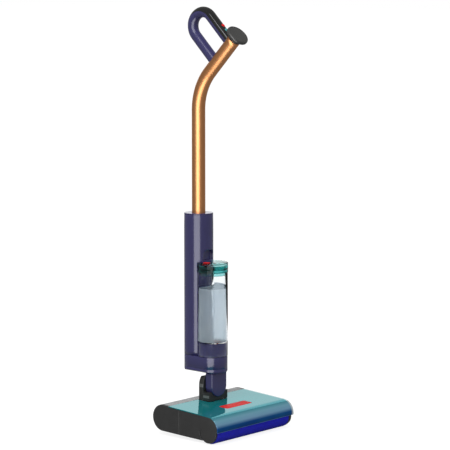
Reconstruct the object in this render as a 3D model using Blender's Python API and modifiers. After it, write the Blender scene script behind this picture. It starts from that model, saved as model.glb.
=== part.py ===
"""Upright wet-and-dry floor scrubber: a roller floor head, a tilting and swivelling neck,
a round body with a lift-off clean water tank, a bent wand and a loop handle.

Frame: +Z up, the front of the machine faces -Y, the width runs along X, and the origin lies on the
floor below the middle of the outer box.  Lengths are in metres, angles in radians.
"""
import math

import bmesh
import bpy
from mathutils import Matrix, Vector

# ---------------------------------------------------------------- driving dimensions
HEAD_WIDTH = 0.3045         # floor head along X, over the roller cover
HEAD_DEPTH = 0.229          # front of the roller cover to the back of the head
BODY_OVERHANG = 0.0125      # the upright body reaches this far behind the head
GAP = 0.0003                # between pieces that touch
SLIDE_GAP = 0.0005          # between pieces that slide or turn on each other

ROLLER_RADIUS = 0.030       # front roller, which scrubs the floor
REAR_ROLLER_STEP = 0.003    # rear roller, which takes the dirt from the front one, smaller by this
REAR_ROLLER_LIFT = 0.0095   # rear roller above the floor
ROLLER_SPACE = 0.0025       # between the two rollers
SLEEVE_WALL = 0.0056        # microfibre sleeve
CORE_WALL = 0.0040
AXLE_RADIUS = 0.0050        # stub axle at the right end of a roller
MOTOR_LENGTH = 0.100
COVER_CLEARANCE = 0.0018    # between roller and cover at the front
COVER_WALL = 0.0022
COVER_EASE = 0.0005         # the cover's front is this much less curved than the roller
COVER_RISE = 0.0090         # centre of the cover's front curve above the roller's axis
COVER_LIP_DROP = 0.0050     # front lip of the cover, below the centre of its curve
REAR_CLEARANCE = 0.0120     # under the back of the head
FRONT_CLEARANCE = 0.0079    # under the end panels, behind the front roller
LOBE_INSET = 0.0032         # round end of the front panel, inside the roller's outline
SLIT_WIDTH = 0.0020         # between that round end and the rest of the panel
SLIT_TOP = math.radians(10)  # the slit ends this far above the roller's axis
HOOD_RADIUS = 0.035         # round back of the head
HOOD_LOW = math.radians(-58)
DECK_WALL = 0.0025
DECK_REACH = 0.01475        # front edge of the deck, behind the front roller's axis
PARTITION_WALL = 0.0035     # between rear roller and dirty water tank
PARTITION_SPACE = 0.0091    # between rear roller and partition
PANEL_WALL = 0.0070         # end panels
PANEL_RECESS = 0.0006       # end panels inside the cover's ends
PANEL_SEAM = 0.0065         # front and rear end panels meet this far behind the partition's front
HOOD_SEAM_Y = 0.0515        # where the cover meets the hood
BUTTON_WIDTH = 0.100        # head release button, X
BUTTON_DEPTH = 0.030
BUTTON_CORNER = 0.005
BUTTON_REAR_Y = -0.0335
BRUSH_RADIUS = 0.0050
BRUSH_SHAFT = 0.0015
BRUSH_SPACE = 0.0024        # between the two inner brushes
BRUSH_CLEARANCE = 0.0006    # between brush and roller
WATER_BAR_RADIUS = 0.0020
WATER_BAR_SPACE = 0.0012    # between water bar and roller
WATER_BAR_ANGLE = math.radians(24)
WIPER_CLEARANCE = 0.0008    # under the wiper strip
WIPER_HEIGHT = 0.0222
WHEEL_RADIUS = 0.0070
WHEEL_WIDTH = 0.0080
WHEEL_AXLE_RADIUS = 0.0016
WHEEL_BACK = 0.00575        # wheel axis behind the centre of the hood's curve
WHEEL_LUG = 0.0024          # plates that carry a wheel's axle
WHEEL_INSET = 0.055         # wheels in from the end panels
WHEEL_PLAY = 0.0008         # between wheel and plates
TRAY_DEPTH = 0.046
TRAY_HEIGHT = 0.016
TRAY_WALL = 0.0015
TRAY_DROP = 0.0036          # rim of the tray below the rim of the tank

YOKE_WIDTH = 0.073
YOKE_FRONT_Y = 0.01285
YOKE_BACK_Y = 0.04925
CRADLE_HEIGHT = 0.0225
ARM_HEIGHT = 0.063
ARM_DEPTH = 0.0214
ARM_ROUND = 0.0365          # radius of the arm's round shoulders
SHOULDER_DROP = 0.0235      # centre of the shoulders below the arm's top
HINGE_RISE = 0.0065         # recline axis, above the yoke's underside
KNUCKLE_RADIUS = 0.0070
PIN_RADIUS = 0.0030
LUG_IN = 0.0150             # inner and outer faces of the hinge lugs
LUG_OUT = 0.0220
SWIVEL_RISE = 0.0375        # swivel axis, above the yoke's underside
SWIVEL_MAX = math.radians(25)
SWIVEL_PIN_RADIUS = 0.0060

NECK_WIDTH = 0.058
NECK_DEPTH = 0.025
NECK_FORWARD = 0.0046       # neck in front of the yoke
HOUSING_RISE = 0.0735       # underside of the lower housing, above the yoke's underside
HOUSING_HEIGHT = 0.043
SHELL_WALL = 0.0025
BODY_RADIUS = 0.0387
BODY_HEIGHT = 0.378         # above the lower housing
BODY_CAP = 0.0028           # thickness of the cap on the body
CONTACT_RISE = 0.027        # charging contacts, above the housing's underside
CONTACT_RADIUS = 0.0025
CONTACT_X = 0.012
PUMP_RADIUS = 0.016
PUMP_HEIGHT = 0.0475
HOSE_RADIUS = 0.0030
HOSE_DROP = 0.018           # lowest run of the feed hose, below the housing's top
BATTERY_HEIGHT = 0.135
BATTERY_TOP = 0.031         # below the body's top

TANK_RADIUS = 0.04075
TANK_OFFSET = 0.0487        # tank axis in front of the body axis
TANK_WALL = 0.0020
TANK_FLOOR_WALL = 0.0025
TANK_HEIGHT = 0.224         # above the lower housing
PLINTH_HEIGHT = 0.0365
TANK_CAP_RADIUS = 0.0415
TANK_CAP_HEIGHT = 0.026
CAP_PLUG = 0.008
VALVE_RADIUS = 0.0060
SPRING_RADIUS = 0.0042
TANK_BUTTON_RADIUS = 0.0098
TANK_BUTTON_X = -0.0225
TANK_BUTTON_SPACE = 0.0049  # between tank button and body
SCOOP_WIDTH = 0.039
SCOOP_HEIGHT = 0.0295
SCOOP_DEPTH = 0.0145
SCOOP_ROUND = 0.0150
SCOOP_RISE = 0.003          # above the tank cap

WAND_RADIUS = 0.0179
WAND_WALL = 0.0016
WAND_INSERT = 0.024         # wand inside the body
WAND_STRAIGHT = 0.272       # above the body, to the bend
WAND_BEND_RADIUS = 0.143
WAND_BEND = math.radians(44.4)
DISC_AT = 0.135             # screen disc, along the upper wand
DISC_RADIUS = 0.0308
DISC_THICK = 0.0108
DISC_ROUND = 0.0040         # round edge of the disc
LENS_RADIUS = 0.0255
LENS_THICK = 0.0010
COLLAR_HEIGHT = 0.0080
LOOP_LOW = 0.0327           # lower bar of the loop, along the upper wand
LOOP_PITCH = 0.0727         # between the two bars
LOOP_LENGTH = 0.0997        # wand axis to the centre of the round end
LOOP_TUBE = 0.0149
POWER_AT = 0.0525           # buttons, out from the wand axis
MODE_AT = 0.0359
KEY_RADIUS = 0.0050

# ---------------------------------------------------------------- places worked out from them
FRONT = -(HEAD_DEPTH + BODY_OVERHANG) / 2
REAR = FRONT + HEAD_DEPTH
BODY_Y = REAR + BODY_OVERHANG - BODY_RADIUS
TANK_Y = BODY_Y - TANK_OFFSET
ROLLER_Y = FRONT + COVER_WALL + COVER_CLEARANCE + ROLLER_RADIUS
REAR_ROLLER_RADIUS = ROLLER_RADIUS - REAR_ROLLER_STEP
ROLLER2_Z = REAR_ROLLER_LIFT + REAR_ROLLER_RADIUS
ROLLER2_Y = ROLLER_Y + math.sqrt((ROLLER_RADIUS + ROLLER_SPACE + REAR_ROLLER_RADIUS) ** 2
                                 - (ROLLER2_Z - ROLLER_RADIUS) ** 2)
COVER_RADIUS = ROLLER_RADIUS + COVER_CLEARANCE + COVER_WALL + COVER_EASE
COVER_Y = FRONT + COVER_RADIUS           # centre of the cover's front curve
COVER_Z = ROLLER_RADIUS + COVER_RISE
HOOD_Y = REAR - HOOD_RADIUS              # centre of the hood's curve
HOOD_Z = REAR_CLEARANCE + HOOD_RADIUS
HALF = HEAD_WIDTH / 2
PANEL_X = HALF - PANEL_RECESS            # outer face of the end panels
INNER_X = PANEL_X - PANEL_WALL           # their inner face
UNDER_COVER = COVER_WALL + GAP
UNDER_DECK = UNDER_COVER + DECK_WALL
PARTITION_Y = ROLLER2_Y + REAR_ROLLER_RADIUS + PARTITION_SPACE
PANEL_SEAM_Y = PARTITION_Y + PANEL_SEAM
DECK_FRONT_Y = ROLLER_Y + DECK_REACH
FLOOR_Z = REAR_CLEARANCE + 0.001         # underside of the chassis floor
TUB_Z = FLOOR_Z + DECK_WALL + SLIDE_GAP  # underside of the dirty water tank
TUB_Y = PANEL_SEAM_Y + SLIDE_GAP         # clear of the front panel when it is drawn out
TUB_X = INNER_X - 2 * GAP
WHEEL_Y = HOOD_Y + WHEEL_BACK
SLOPE = math.atan2(HOOD_Z - COVER_Z, HOOD_Y - COVER_Y) + math.asin(
    (HOOD_RADIUS - COVER_RADIUS) / math.hypot(HOOD_Y - COVER_Y, HOOD_Z - COVER_Z))
TOP_ANGLE = math.pi / 2 + SLOPE          # where the flat top leaves both round ends


def head_line(y, inset):
    """Height of the head's flat top above a place y, less an inset square to it."""
    touch_y = COVER_Y + (COVER_RADIUS - inset) * math.cos(TOP_ANGLE)
    touch_z = COVER_Z + (COVER_RADIUS - inset) * math.sin(TOP_ANGLE)
    return touch_z + (y - touch_y) * math.tan(SLOPE)


def underside(y):
    """Height of the end panels' lower edge, which falls from the back towards the front roller."""
    front = ROLLER_Y + ROLLER_RADIUS
    return REAR_CLEARANCE + (FRONT_CLEARANCE - REAR_CLEARANCE) * (HOOD_Y - y) / (HOOD_Y - front)


TUB_TOP = head_line(TUB_Y, UNDER_DECK) - 0.0012
YOKE_BOTTOM = head_line(YOKE_BACK_Y, 0) - GAP
CRADLE_TOP = YOKE_BOTTOM + CRADLE_HEIGHT
ARM_TOP = YOKE_BOTTOM + ARM_HEIGHT
HINGE_Y = YOKE_BACK_Y - KNUCKLE_RADIUS
HINGE_Z = YOKE_BOTTOM + HINGE_RISE
SWIVEL_Z = YOKE_BOTTOM + SWIVEL_RISE
NECK_FRONT_Y = YOKE_FRONT_Y - NECK_FORWARD
NECK_BACK_Y = NECK_FRONT_Y + NECK_DEPTH
HOUSING_BOTTOM = YOKE_BOTTOM + HOUSING_RISE
HOUSING_TOP = HOUSING_BOTTOM + HOUSING_HEIGHT
BODY_TOP = HOUSING_TOP + BODY_HEIGHT
TANK_TOP = HOUSING_TOP + TANK_HEIGHT
TANK_FLOOR = HOUSING_TOP + PLINTH_HEIGHT
TANK_CLEAR = BODY_RADIUS + 0.0006        # hollow back of the tank, round the body
VALVE_Y = (TANK_Y - TANK_RADIUS + BODY_Y - TANK_CLEAR) / 2   # middle of the tank's floor
TANK_BUTTON_Y = BODY_Y - math.sqrt(
    (TANK_CLEAR + TANK_BUTTON_SPACE + TANK_BUTTON_RADIUS) ** 2 - TANK_BUTTON_X ** 2)
SCOOP_LOW = TANK_TOP + TANK_CAP_HEIGHT + SCOOP_RISE
WAND_DIR = Vector((0, -math.sin(WAND_BEND), math.cos(WAND_BEND)))
BAR_DIR = Vector((0, math.cos(WAND_BEND), math.sin(WAND_BEND)))
BEND_START = Vector((0, BODY_Y, BODY_TOP + WAND_STRAIGHT))
BEND_END = BEND_START + Vector((0, -WAND_BEND_RADIUS * (1 - math.cos(WAND_BEND)),
                                WAND_BEND_RADIUS * math.sin(WAND_BEND)))
DISC = BEND_END + WAND_DIR * DISC_AT     # middle of the screen disc
BAR_LOW = BEND_END + WAND_DIR * LOOP_LOW
BAR_HIGH = BAR_LOW + WAND_DIR * LOOP_PITCH
LOOP_CENTRE = (BAR_LOW + BAR_HIGH) / 2 + BAR_DIR * LOOP_LENGTH
LOOP_BEND = LOOP_PITCH / 2

for leftover in list(bpy.data.objects):
    bpy.data.objects.remove(leftover, do_unlink=True)
PARTS = bpy.data.collections.new("wet_dry_floor_scrubber")
CUTTERS = bpy.data.collections.new("cutters")
bpy.context.scene.collection.children.link(PARTS)
bpy.context.scene.collection.children.link(CUTTERS)


# ---------------------------------------------------------------- materials
def material(name, colour, roughness, metallic=0.0):
    mat = bpy.data.materials.new(name)
    mat.use_nodes = True
    shader = mat.node_tree.nodes["Principled BSDF"]
    shader.inputs["Base Color"].default_value = (*colour, 1)
    shader.inputs["Roughness"].default_value = roughness
    shader.inputs["Metallic"].default_value = metallic
    mat.diffuse_color = (*colour, 1)
    return mat


BLUE = material("violet_blue_shell", (0.040, 0.038, 0.110), 0.25)
BLACK = material("black_plastic", (0.020, 0.020, 0.019), 0.45)
CHARCOAL = material("charcoal_plastic", (0.045, 0.045, 0.045), 0.55)
GREY = material("grey_plastic", (0.36, 0.37, 0.38), 0.5)
TEAL = material("teal_clear", (0.05, 0.50, 0.50), 0.1)
CLEAR = material("clear_plastic", (0.80, 0.86, 0.90), 0.1)
COPPER = material("copper_metal", (0.55, 0.22, 0.07), 0.25, 1.0)
FIBRE = material("blue_microfibre", (0.0, 0.0, 0.40), 0.9)
RED = material("red_plastic", (0.60, 0.02, 0.02), 0.4)
STEEL = material("steel", (0.55, 0.55, 0.56), 0.3, 1.0)
RUBBER = material("rubber", (0.03, 0.03, 0.03), 0.8)
BRASS = material("brass", (0.60, 0.42, 0.14), 0.3, 1.0)
BOARD = material("green_board", (0.02, 0.12, 0.05), 0.5)


# ---------------------------------------------------------------- modelling helpers
def place(obj, mat, role):
    """Put a new object in the parts or the cutters, with its material."""
    for owner in list(obj.users_collection):
        owner.objects.unlink(obj)
    if role == "part":
        PARTS.objects.link(obj)
        obj.data.materials.clear()
        obj.data.materials.append(mat)
    else:
        CUTTERS.objects.link(obj)
        obj.hide_render = True
        obj.display_type = "WIRE"
    return obj


def from_bmesh(name, bm, mat, role):
    mesh = bpy.data.meshes.new(name)
    bmesh.ops.recalc_face_normals(bm, faces=bm.faces)
    bm.to_mesh(mesh)
    bm.free()
    return place(bpy.data.objects.new(name, mesh), mat, role)


def box(name, low, high, mat=None, role="part"):
    """A block between two corners."""
    low, high = Vector(low), Vector(high)
    bm = bmesh.new()
    bmesh.ops.create_cube(bm, size=1.0)
    bmesh.ops.scale(bm, vec=high - low, verts=bm.verts)
    bmesh.ops.translate(bm, vec=(low + high) / 2, verts=bm.verts)
    return from_bmesh(name, bm, mat, role)


def turn_to(axis):
    """Rotation that carries +Z onto an axis, keeping +X where it can."""
    return Vector((0, 0, 1)).rotation_difference(Vector(axis)).to_matrix().to_4x4()


def rod(name, radius, start, end, mat=None, role="part", sides=24):
    """A cylinder from one point to another."""
    start, end = Vector(start), Vector(end)
    bm = bmesh.new()
    bmesh.ops.create_cone(bm, cap_ends=True, segments=sides, radius1=radius, radius2=radius,
                          depth=(end - start).length)
    bmesh.ops.transform(bm, matrix=Matrix.Translation((start + end) / 2) @ turn_to(end - start),
                        verts=bm.verts)
    return smooth(from_bmesh(name, bm, mat, role))


def smooth(obj):
    obj.data.shade_smooth()
    obj.data.set_sharp_from_angle(angle=math.radians(35))
    return obj


def turned(name, profile, origin, axis, mat=None, role="part", sides=32):
    """A (radius, height) profile, top to bottom on its outer side, turned round an axis.

    A profile that starts away from the axis is a ring's, and closes on itself.
    """
    mesh = bpy.data.meshes.new(name)
    count = len(profile)
    ends = count if profile[0][0] > 0 else count - 1
    mesh.from_pydata([(r, 0, h) for r, h in profile], [(i, (i + 1) % count) for i in range(ends)], [])
    obj = place(bpy.data.objects.new(name, mesh), mat, role)
    screw = obj.modifiers.new("turn", "SCREW")
    screw.steps = screw.render_steps = sides
    screw.use_merge_vertices = True
    screw.merge_threshold = 0.00001
    screw.use_smooth_shade = False
    obj.matrix_world = Matrix.Translation(origin) @ turn_to(axis)
    return obj


def ring_profile(inner, outer, low, high):
    """Closed profile of a plain tube or ring."""
    return [(inner, high), (outer, high), (outer, low), (inner, low)]


def arc(cx, cy, radius, start, end, steps):
    """Points of an arc, from one angle to another."""
    return [(cx + radius * math.cos(start + (end - start) * i / steps),
             cy + radius * math.sin(start + (end - start) * i / steps)) for i in range(steps + 1)]


PLANES = {"XY": Matrix.Identity(4),
          "YZ": Matrix(((0, 0, 1, 0), (1, 0, 0, 0), (0, 1, 0, 0), (0, 0, 0, 1))),
          "XZ": Matrix(((1, 0, 0, 0), (0, 0, -1, 0), (0, 1, 0, 0), (0, 0, 0, 1)))}


def plate(name, outline, low, high, plane, mat=None, role="part"):
    """A flat outline in a plane, made solid between two heights along the plane's normal."""
    curve = bpy.data.curves.new(name, "CURVE")
    curve.dimensions = "2D"
    curve.fill_mode = "BOTH"
    curve.extrude = (high - low) / 2
    spline = curve.splines.new("POLY")
    spline.points.add(len(outline) - 1)
    for point, (x, y) in zip(spline.points, outline):
        point.co = (x, y, 0, 1)
    spline.use_cyclic_u = True
    guide = bpy.data.objects.new(name + "_outline", curve)
    bpy.context.scene.collection.objects.link(guide)
    side = -1 if plane == "XZ" else 1
    guide.matrix_world = PLANES[plane] @ Matrix.Translation((0, 0, side * (low + high) / 2))
    return meshed(guide, name, mat, role)


def meshed(guide, name, mat, role):
    """The mesh of a curve object with its loose caps welded; the curve is removed."""
    bpy.context.view_layer.update()
    mesh = bpy.data.meshes.new_from_object(guide.evaluated_get(bpy.context.evaluated_depsgraph_get()))
    bm = bmesh.new()
    bm.from_mesh(mesh)
    bmesh.ops.remove_doubles(bm, verts=bm.verts, dist=0.00001)
    bmesh.ops.transform(bm, matrix=guide.matrix_world, verts=bm.verts)
    bpy.data.meshes.remove(mesh)
    bpy.data.objects.remove(guide, do_unlink=True)
    return from_bmesh(name, bm, mat, role)


def tube(name, points, radius, mat=None, role="part", resolution=4, wall=None):
    """A round tube along points; solid, or with a wall and open ends."""
    curve = bpy.data.curves.new(name, "CURVE")
    curve.dimensions = "3D"
    curve.bevel_depth = radius
    curve.bevel_resolution = resolution
    curve.use_fill_caps = wall is None
    spline = curve.splines.new("POLY")
    spline.points.add(len(points) - 1)
    for point, spot in zip(spline.points, points):
        point.co = (*spot, 1)
    guide = bpy.data.objects.new(name + "_path", curve)
    bpy.context.scene.collection.objects.link(guide)
    obj = smooth(meshed(guide, name, mat, role))
    if wall:
        shell = obj.modifiers.new("wall", "SOLIDIFY")
        shell.thickness = wall
        shell.offset = -1
    return obj


def boolean(obj, cutter, operation):
    step = obj.modifiers.new(operation.lower(), "BOOLEAN")
    step.operation = operation
    step.solver = "EXACT"
    step.object = cutter
    return obj


def cut(obj, *cutters):
    for cutter in cutters:
        boolean(obj, cutter, "DIFFERENCE")
    return obj


def join(obj, *pieces):
    for piece in pieces:
        boolean(obj, piece, "UNION")
    return obj


def keep(obj, cutter):
    return boolean(obj, cutter, "INTERSECT")


def bevel(obj, width, segments=2, angle=40):
    step = obj.modifiers.new("bevel", "BEVEL")
    step.width = width
    step.segments = segments
    step.limit_method = "ANGLE"
    step.angle_limit = math.radians(angle)
    return obj


def front_arc(inset, end, steps=10):
    return arc(COVER_Y, COVER_Z, COVER_RADIUS - inset, TOP_ANGLE, end, steps)


def rear_arc(inset, end, steps=14):
    return arc(HOOD_Y, HOOD_Z, HOOD_RADIUS - inset, TOP_ANGLE, end, steps)


def mirrored(side, low, high):
    """A range along X on the left (-1) or the right (+1)."""
    return (low, high) if side > 0 else (-high, -low)


def side_box(name, side, low, high, mat=None, role="part"):
    """A block given on the right side, made there or mirrored to the left."""
    left, right = mirrored(side, low[0], high[0])
    return box(name, (left, *low[1:]), (right, *high[1:]), mat, role)


# ---------------------------------------------------------------- floor head
def yoke_notch(name):
    """Space in the cover for the foot of the yoke, open to the back."""
    return box(name, (-YOKE_WIDTH / 2 - 2 * GAP, YOKE_FRONT_Y - 3 * GAP, YOKE_BOTTOM - 0.02),
               (YOKE_WIDTH / 2 + 2 * GAP, HOOD_SEAM_Y + 0.005, YOKE_BOTTOM + 0.02), role="cutter")


def button_outline(grow):
    """Rounded rectangle of the head release button, grown on all sides."""
    half_x = BUTTON_WIDTH / 2 + grow
    front, back = BUTTON_REAR_Y - BUTTON_DEPTH - grow, BUTTON_REAR_Y + grow
    r = BUTTON_CORNER + grow
    quarter = math.pi / 2
    corners = [(half_x - r, back - r), (r - half_x, back - r), (r - half_x, front + r),
               (half_x - r, front + r)]
    return [point for turn, (x, y) in enumerate(corners)
            for point in arc(x, y, r, turn * quarter, (turn + 1) * quarter, 4)]


def button_hole(name, grow):
    level = head_line(BUTTON_REAR_Y, 0)
    return plate(name, button_outline(grow), level - 0.015, level + 0.01, "XY", role="cutter")


def make_cover():
    lip = math.pi + math.asin(COVER_LIP_DROP / COVER_RADIUS)
    outline = ([(HOOD_SEAM_Y, head_line(HOOD_SEAM_Y, 0))] + front_arc(0, lip)
               + front_arc(COVER_WALL, lip)[::-1] + [(HOOD_SEAM_Y, head_line(HOOD_SEAM_Y, COVER_WALL))])
    cover = plate("top_cover", outline, -HALF, HALF, "YZ", TEAL)
    return cut(cover, yoke_notch("cover_notch"), button_hole("cover_button_hole", SLIDE_GAP))


def make_chassis():
    """C-shaped frame: deck on top, partition behind the rear roller, floor under the tank."""
    deck_end = HOOD_SEAM_Y - 2 * GAP
    floor_end = HOOD_Y + 0.0145
    behind = PARTITION_Y + PARTITION_WALL
    outline = [(DECK_FRONT_Y, head_line(DECK_FRONT_Y, UNDER_COVER)),
               (DECK_FRONT_Y, head_line(DECK_FRONT_Y, UNDER_DECK)),
               (PARTITION_Y, head_line(PARTITION_Y, UNDER_DECK)), (PARTITION_Y, FLOOR_Z), (floor_end,
                                                                                           FLOOR_Z),
               (floor_end, FLOOR_Z + DECK_WALL), (behind, FLOOR_Z + DECK_WALL),
               (behind, head_line(behind, UNDER_DECK)), (deck_end, head_line(deck_end, UNDER_DECK)),
               (deck_end, head_line(deck_end, UNDER_COVER))]
    wide = INNER_X - GAP
    chassis = plate("head_chassis", outline, -wide, wide, "YZ", GREY)
    cut(chassis, button_hole("deck_button_hole", 0.0012))
    low_z, high_z = WHEEL_RADIUS - 2 * WHEEL_AXLE_RADIUS, FLOOR_Z + DECK_WALL / 2
    outer, inner = INNER_X - WHEEL_INSET, INNER_X - WHEEL_INSET - WHEEL_WIDTH
    for name, side in (("left", -1), ("right", 1)):
        cut(chassis, side_box("wheel_well_" + name, side,
                              (inner - WHEEL_PLAY, WHEEL_Y - WHEEL_RADIUS - 0.001, 0),
                              (outer + WHEEL_PLAY, HOOD_Y + 0.02, FLOOR_Z + 0.01), role="cutter"))
        for end, near in (("inner", inner - WHEEL_PLAY - WHEEL_LUG), ("outer", outer + WHEEL_PLAY)):
            join(chassis, side_box("wheel_lug_%s_%s" % (end, name), side,
                                   (near, WHEEL_Y - 2 * WHEEL_AXLE_RADIUS, low_z),
                                   (near + WHEEL_LUG, WHEEL_Y + 2 * WHEEL_AXLE_RADIUS,
                                    high_z), role="cutter"))
        low, high = mirrored(side, inner - 0.01, outer + 0.01)
        cut(chassis, rod("wheel_bore_" + name, WHEEL_AXLE_RADIUS + GAP, (low, WHEEL_Y, WHEEL_RADIUS),
                         (high, WHEEL_Y, WHEEL_RADIUS), role="cutter", sides=12))


def make_front_panel(name, side):
    """End panel over the two rollers, with a round lobe over the front roller's end."""
    r = ROLLER_RADIUS - LOBE_INSET
    lip = math.pi + math.asin(COVER_LIP_DROP / COVER_RADIUS)
    lip_z = COVER_Z - COVER_LIP_DROP
    start = math.pi - math.asin((lip_z - ROLLER_RADIUS) / r)
    slit_top = 2 * math.pi + SLIT_TOP
    foot = 2 * math.pi - math.asin((ROLLER_RADIUS - FRONT_CLEARANCE) / (r + SLIT_WIDTH))
    seam = PANEL_SEAM_Y - GAP
    outline = ([(seam, head_line(PANEL_SEAM_Y, UNDER_COVER))] + front_arc(UNDER_COVER, lip)
               + arc(ROLLER_Y, ROLLER_RADIUS, r, start, slit_top, 28)
               + arc(ROLLER_Y, ROLLER_RADIUS, r + SLIT_WIDTH, slit_top, foot, 8) + [(seam, underside(seam))])
    return bevel(plate(name, outline, *mirrored(side, INNER_X, PANEL_X), "YZ", CHARCOAL), 0.0008, 1, 50)


def make_rear_panel(name, side):
    """End panel behind the seam, stepped down where it runs under the cover."""
    step = HOOD_SEAM_Y + GAP
    outline = ([(PANEL_SEAM_Y, head_line(PANEL_SEAM_Y, UNDER_COVER)), (PANEL_SEAM_Y, underside(PANEL_SEAM_Y))]
               + rear_arc(0, -math.pi / 2, 20)[::-1]
               + [(step, head_line(step, 0)), (step, head_line(step, UNDER_COVER))])
    return bevel(plate(name, outline, *mirrored(side, INNER_X, PANEL_X), "YZ", CHARCOAL), 0.0010, 1, 50)


def make_hood():
    """Grey shell round the back of the head, over the dirty water tank."""
    step = HOOD_SEAM_Y + GAP
    outline = ([(step, head_line(step, 0))] + rear_arc(0, HOOD_LOW) + rear_arc(COVER_WALL, HOOD_LOW)[::-1]
               + [(step, head_line(step, COVER_WALL))])
    wide = INNER_X - GAP
    return plate("rear_hood", outline, -wide, wide, "YZ", GREY)


def tub_section(wall, rim):
    """Side view of the dirty water tank, or of its hollow when a wall is given."""
    low, high = TUB_Z + wall, TUB_TOP
    r = HOOD_RADIUS - COVER_WALL - SLIDE_GAP - wall
    start = math.asin((high - HOOD_Z) / r)
    end = -math.acos(min(0.99, 0.0125 / r))
    back = arc(HOOD_Y, HOOD_Z, r, end * 0.86, start, 10)
    return ([(TUB_Y + wall, high + rim), (TUB_Y + wall, low),
             (HOOD_Y + r * math.cos(end), max(low, HOOD_Z + r * math.sin(end)))]
            + back + [(back[-1][0], high + rim)])


def make_dirty_tank():
    """Open drawer-like tub that draws out to the left, under the hood and over the chassis floor."""
    tub = plate("dirty_tank_tub", tub_section(0, 0), -TUB_X, TUB_X, "YZ", CLEAR)
    hollow = plate("tub_hollow", tub_section(TANK_WALL, 0.01), TANK_WALL - TUB_X, TUB_X - TANK_WALL, "YZ",
                   role="cutter")
    return cut(tub, hollow)


def make_debris_tray():
    """Sieve tray that hangs in the top of the dirty water tank; slots drain it."""
    front = TUB_Y + TANK_WALL + GAP
    wide, wall = TUB_X - TANK_WALL - GAP, TRAY_WALL
    high = TUB_TOP - TRAY_DROP
    low = high - TRAY_HEIGHT
    tray = box("debris_tray", (-wide, front, low), (wide, front + TRAY_DEPTH, high), CHARCOAL)
    hollow = box("tray_hollow", (wall - wide, front + wall, low + wall),
                 (wide - wall, front + TRAY_DEPTH - wall, high + 0.01), role="cutter")
    slots = [box("tray_slot_%d" % i, (-wide + 0.008, front + 0.006 + 0.009 * i, low - 0.01),
                 (wide - 0.008, front + 0.009 + 0.009 * i, low + 0.01), role="cutter") for i in range(4)]
    return cut(tray, hollow, *slots)


def make_roller(name, radius, y, z, stub_wall=0.004):
    """Sleeve on a hollow core; a motor reaches in from the left, a stub axle from the right."""
    left, right = -INNER_X + SLIDE_GAP, INNER_X - SLIDE_GAP
    flange = right - 0.0052
    core, rim = radius - SLEEVE_WALL, radius - 0.0010
    bore = core - CORE_WALL
    axis, origin = (1, 0, 0), (0, y, z)
    turned(name + "_sleeve", ring_profile(core + GAP, radius, left, flange - SLIDE_GAP), origin, axis, FIBRE,
           sides=48)
    hole = AXLE_RADIUS + SLIDE_GAP
    turned(name + "_core", [(hole, right), (rim, right), (rim, flange), (core, flange), (core, left),
                            (bore, left), (bore, right - stub_wall), (hole, right - stub_wall)],
           origin, axis, BLACK, sides=32)
    rod(name + "_stub_axle", AXLE_RADIUS, (right - stub_wall - 0.004, y, z), (INNER_X - GAP / 2, y, z), STEEL,
        sides=20)
    can = bore - 0.0024
    shaft, can_end = left + MOTOR_LENGTH + 0.015, left + MOTOR_LENGTH
    turned(name + "_motor", [(0, shaft), (0.004, shaft), (0.004, can_end), (can, can_end),
                             (can, -INNER_X + GAP / 2), (0,
                                                         -INNER_X + GAP / 2)], origin, axis, STEEL, sides=24)
    turned(name + "_bearing", ring_profile(can + GAP, bore - GAP, left + 0.004, left + 0.011), origin, axis,
           STEEL, sides=24)


def make_brush(name, y, roller_radius, roller_y, roller_z):
    """Bristle roll with a thin shaft, in the nip above the rollers, just clear of its own roller."""
    reach, roll = INNER_X - GAP, INNER_X - 0.009
    apart = roller_radius + BRUSH_RADIUS + BRUSH_CLEARANCE
    z = roller_z + math.sqrt(apart ** 2 - (y - roller_y) ** 2)
    turned(name, [(0, reach), (BRUSH_SHAFT, reach), (BRUSH_SHAFT, roll), (BRUSH_RADIUS, roll),
                  (BRUSH_RADIUS, -roll), (BRUSH_SHAFT, -roll), (BRUSH_SHAFT, -reach), (0, -reach)],
           (0, y, z), (1, 0, 0), BLACK, sides=16)


def make_water_bar(name, roller_radius, roller_y, roller_z):
    """Thin pipe over a roller that wets it."""
    apart = roller_radius + WATER_BAR_RADIUS + WATER_BAR_SPACE
    y = roller_y + apart * math.sin(WATER_BAR_ANGLE)
    z = roller_z + apart * math.cos(WATER_BAR_ANGLE)
    reach = INNER_X - GAP
    rod(name, WATER_BAR_RADIUS, (-reach, y, z), (reach, y, z), CLEAR, sides=12)


def make_rollers():
    """Each roller with its inner brush and its water bar."""
    middle = (ROLLER_Y + ROLLER2_Y) / 2
    spread = BRUSH_RADIUS + BRUSH_SPACE / 2
    for name, side, *roller in (("front", -1, ROLLER_RADIUS, ROLLER_Y, ROLLER_RADIUS),
                                ("rear", 1, REAR_ROLLER_RADIUS, ROLLER2_Y, ROLLER2_Z)):
        make_roller(name + "_roller", *roller)
        make_brush(name + "_brush_roll", middle + side * spread, *roller)
        make_water_bar(name + "_water_bar", *roller)


def make_head_button():
    face_y = BUTTON_REAR_Y - BUTTON_DEPTH / 2
    button = plate("head_release_button", button_outline(0), -0.0026, 0.0003, "XY", RED)
    button.matrix_world = (Matrix.Translation((0, face_y, head_line(face_y, 0))) @ Matrix.Rotation(SLOPE, 4,
                                                                                                   "X")
                           @ Matrix.Translation((0, -face_y, 0)))


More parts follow.
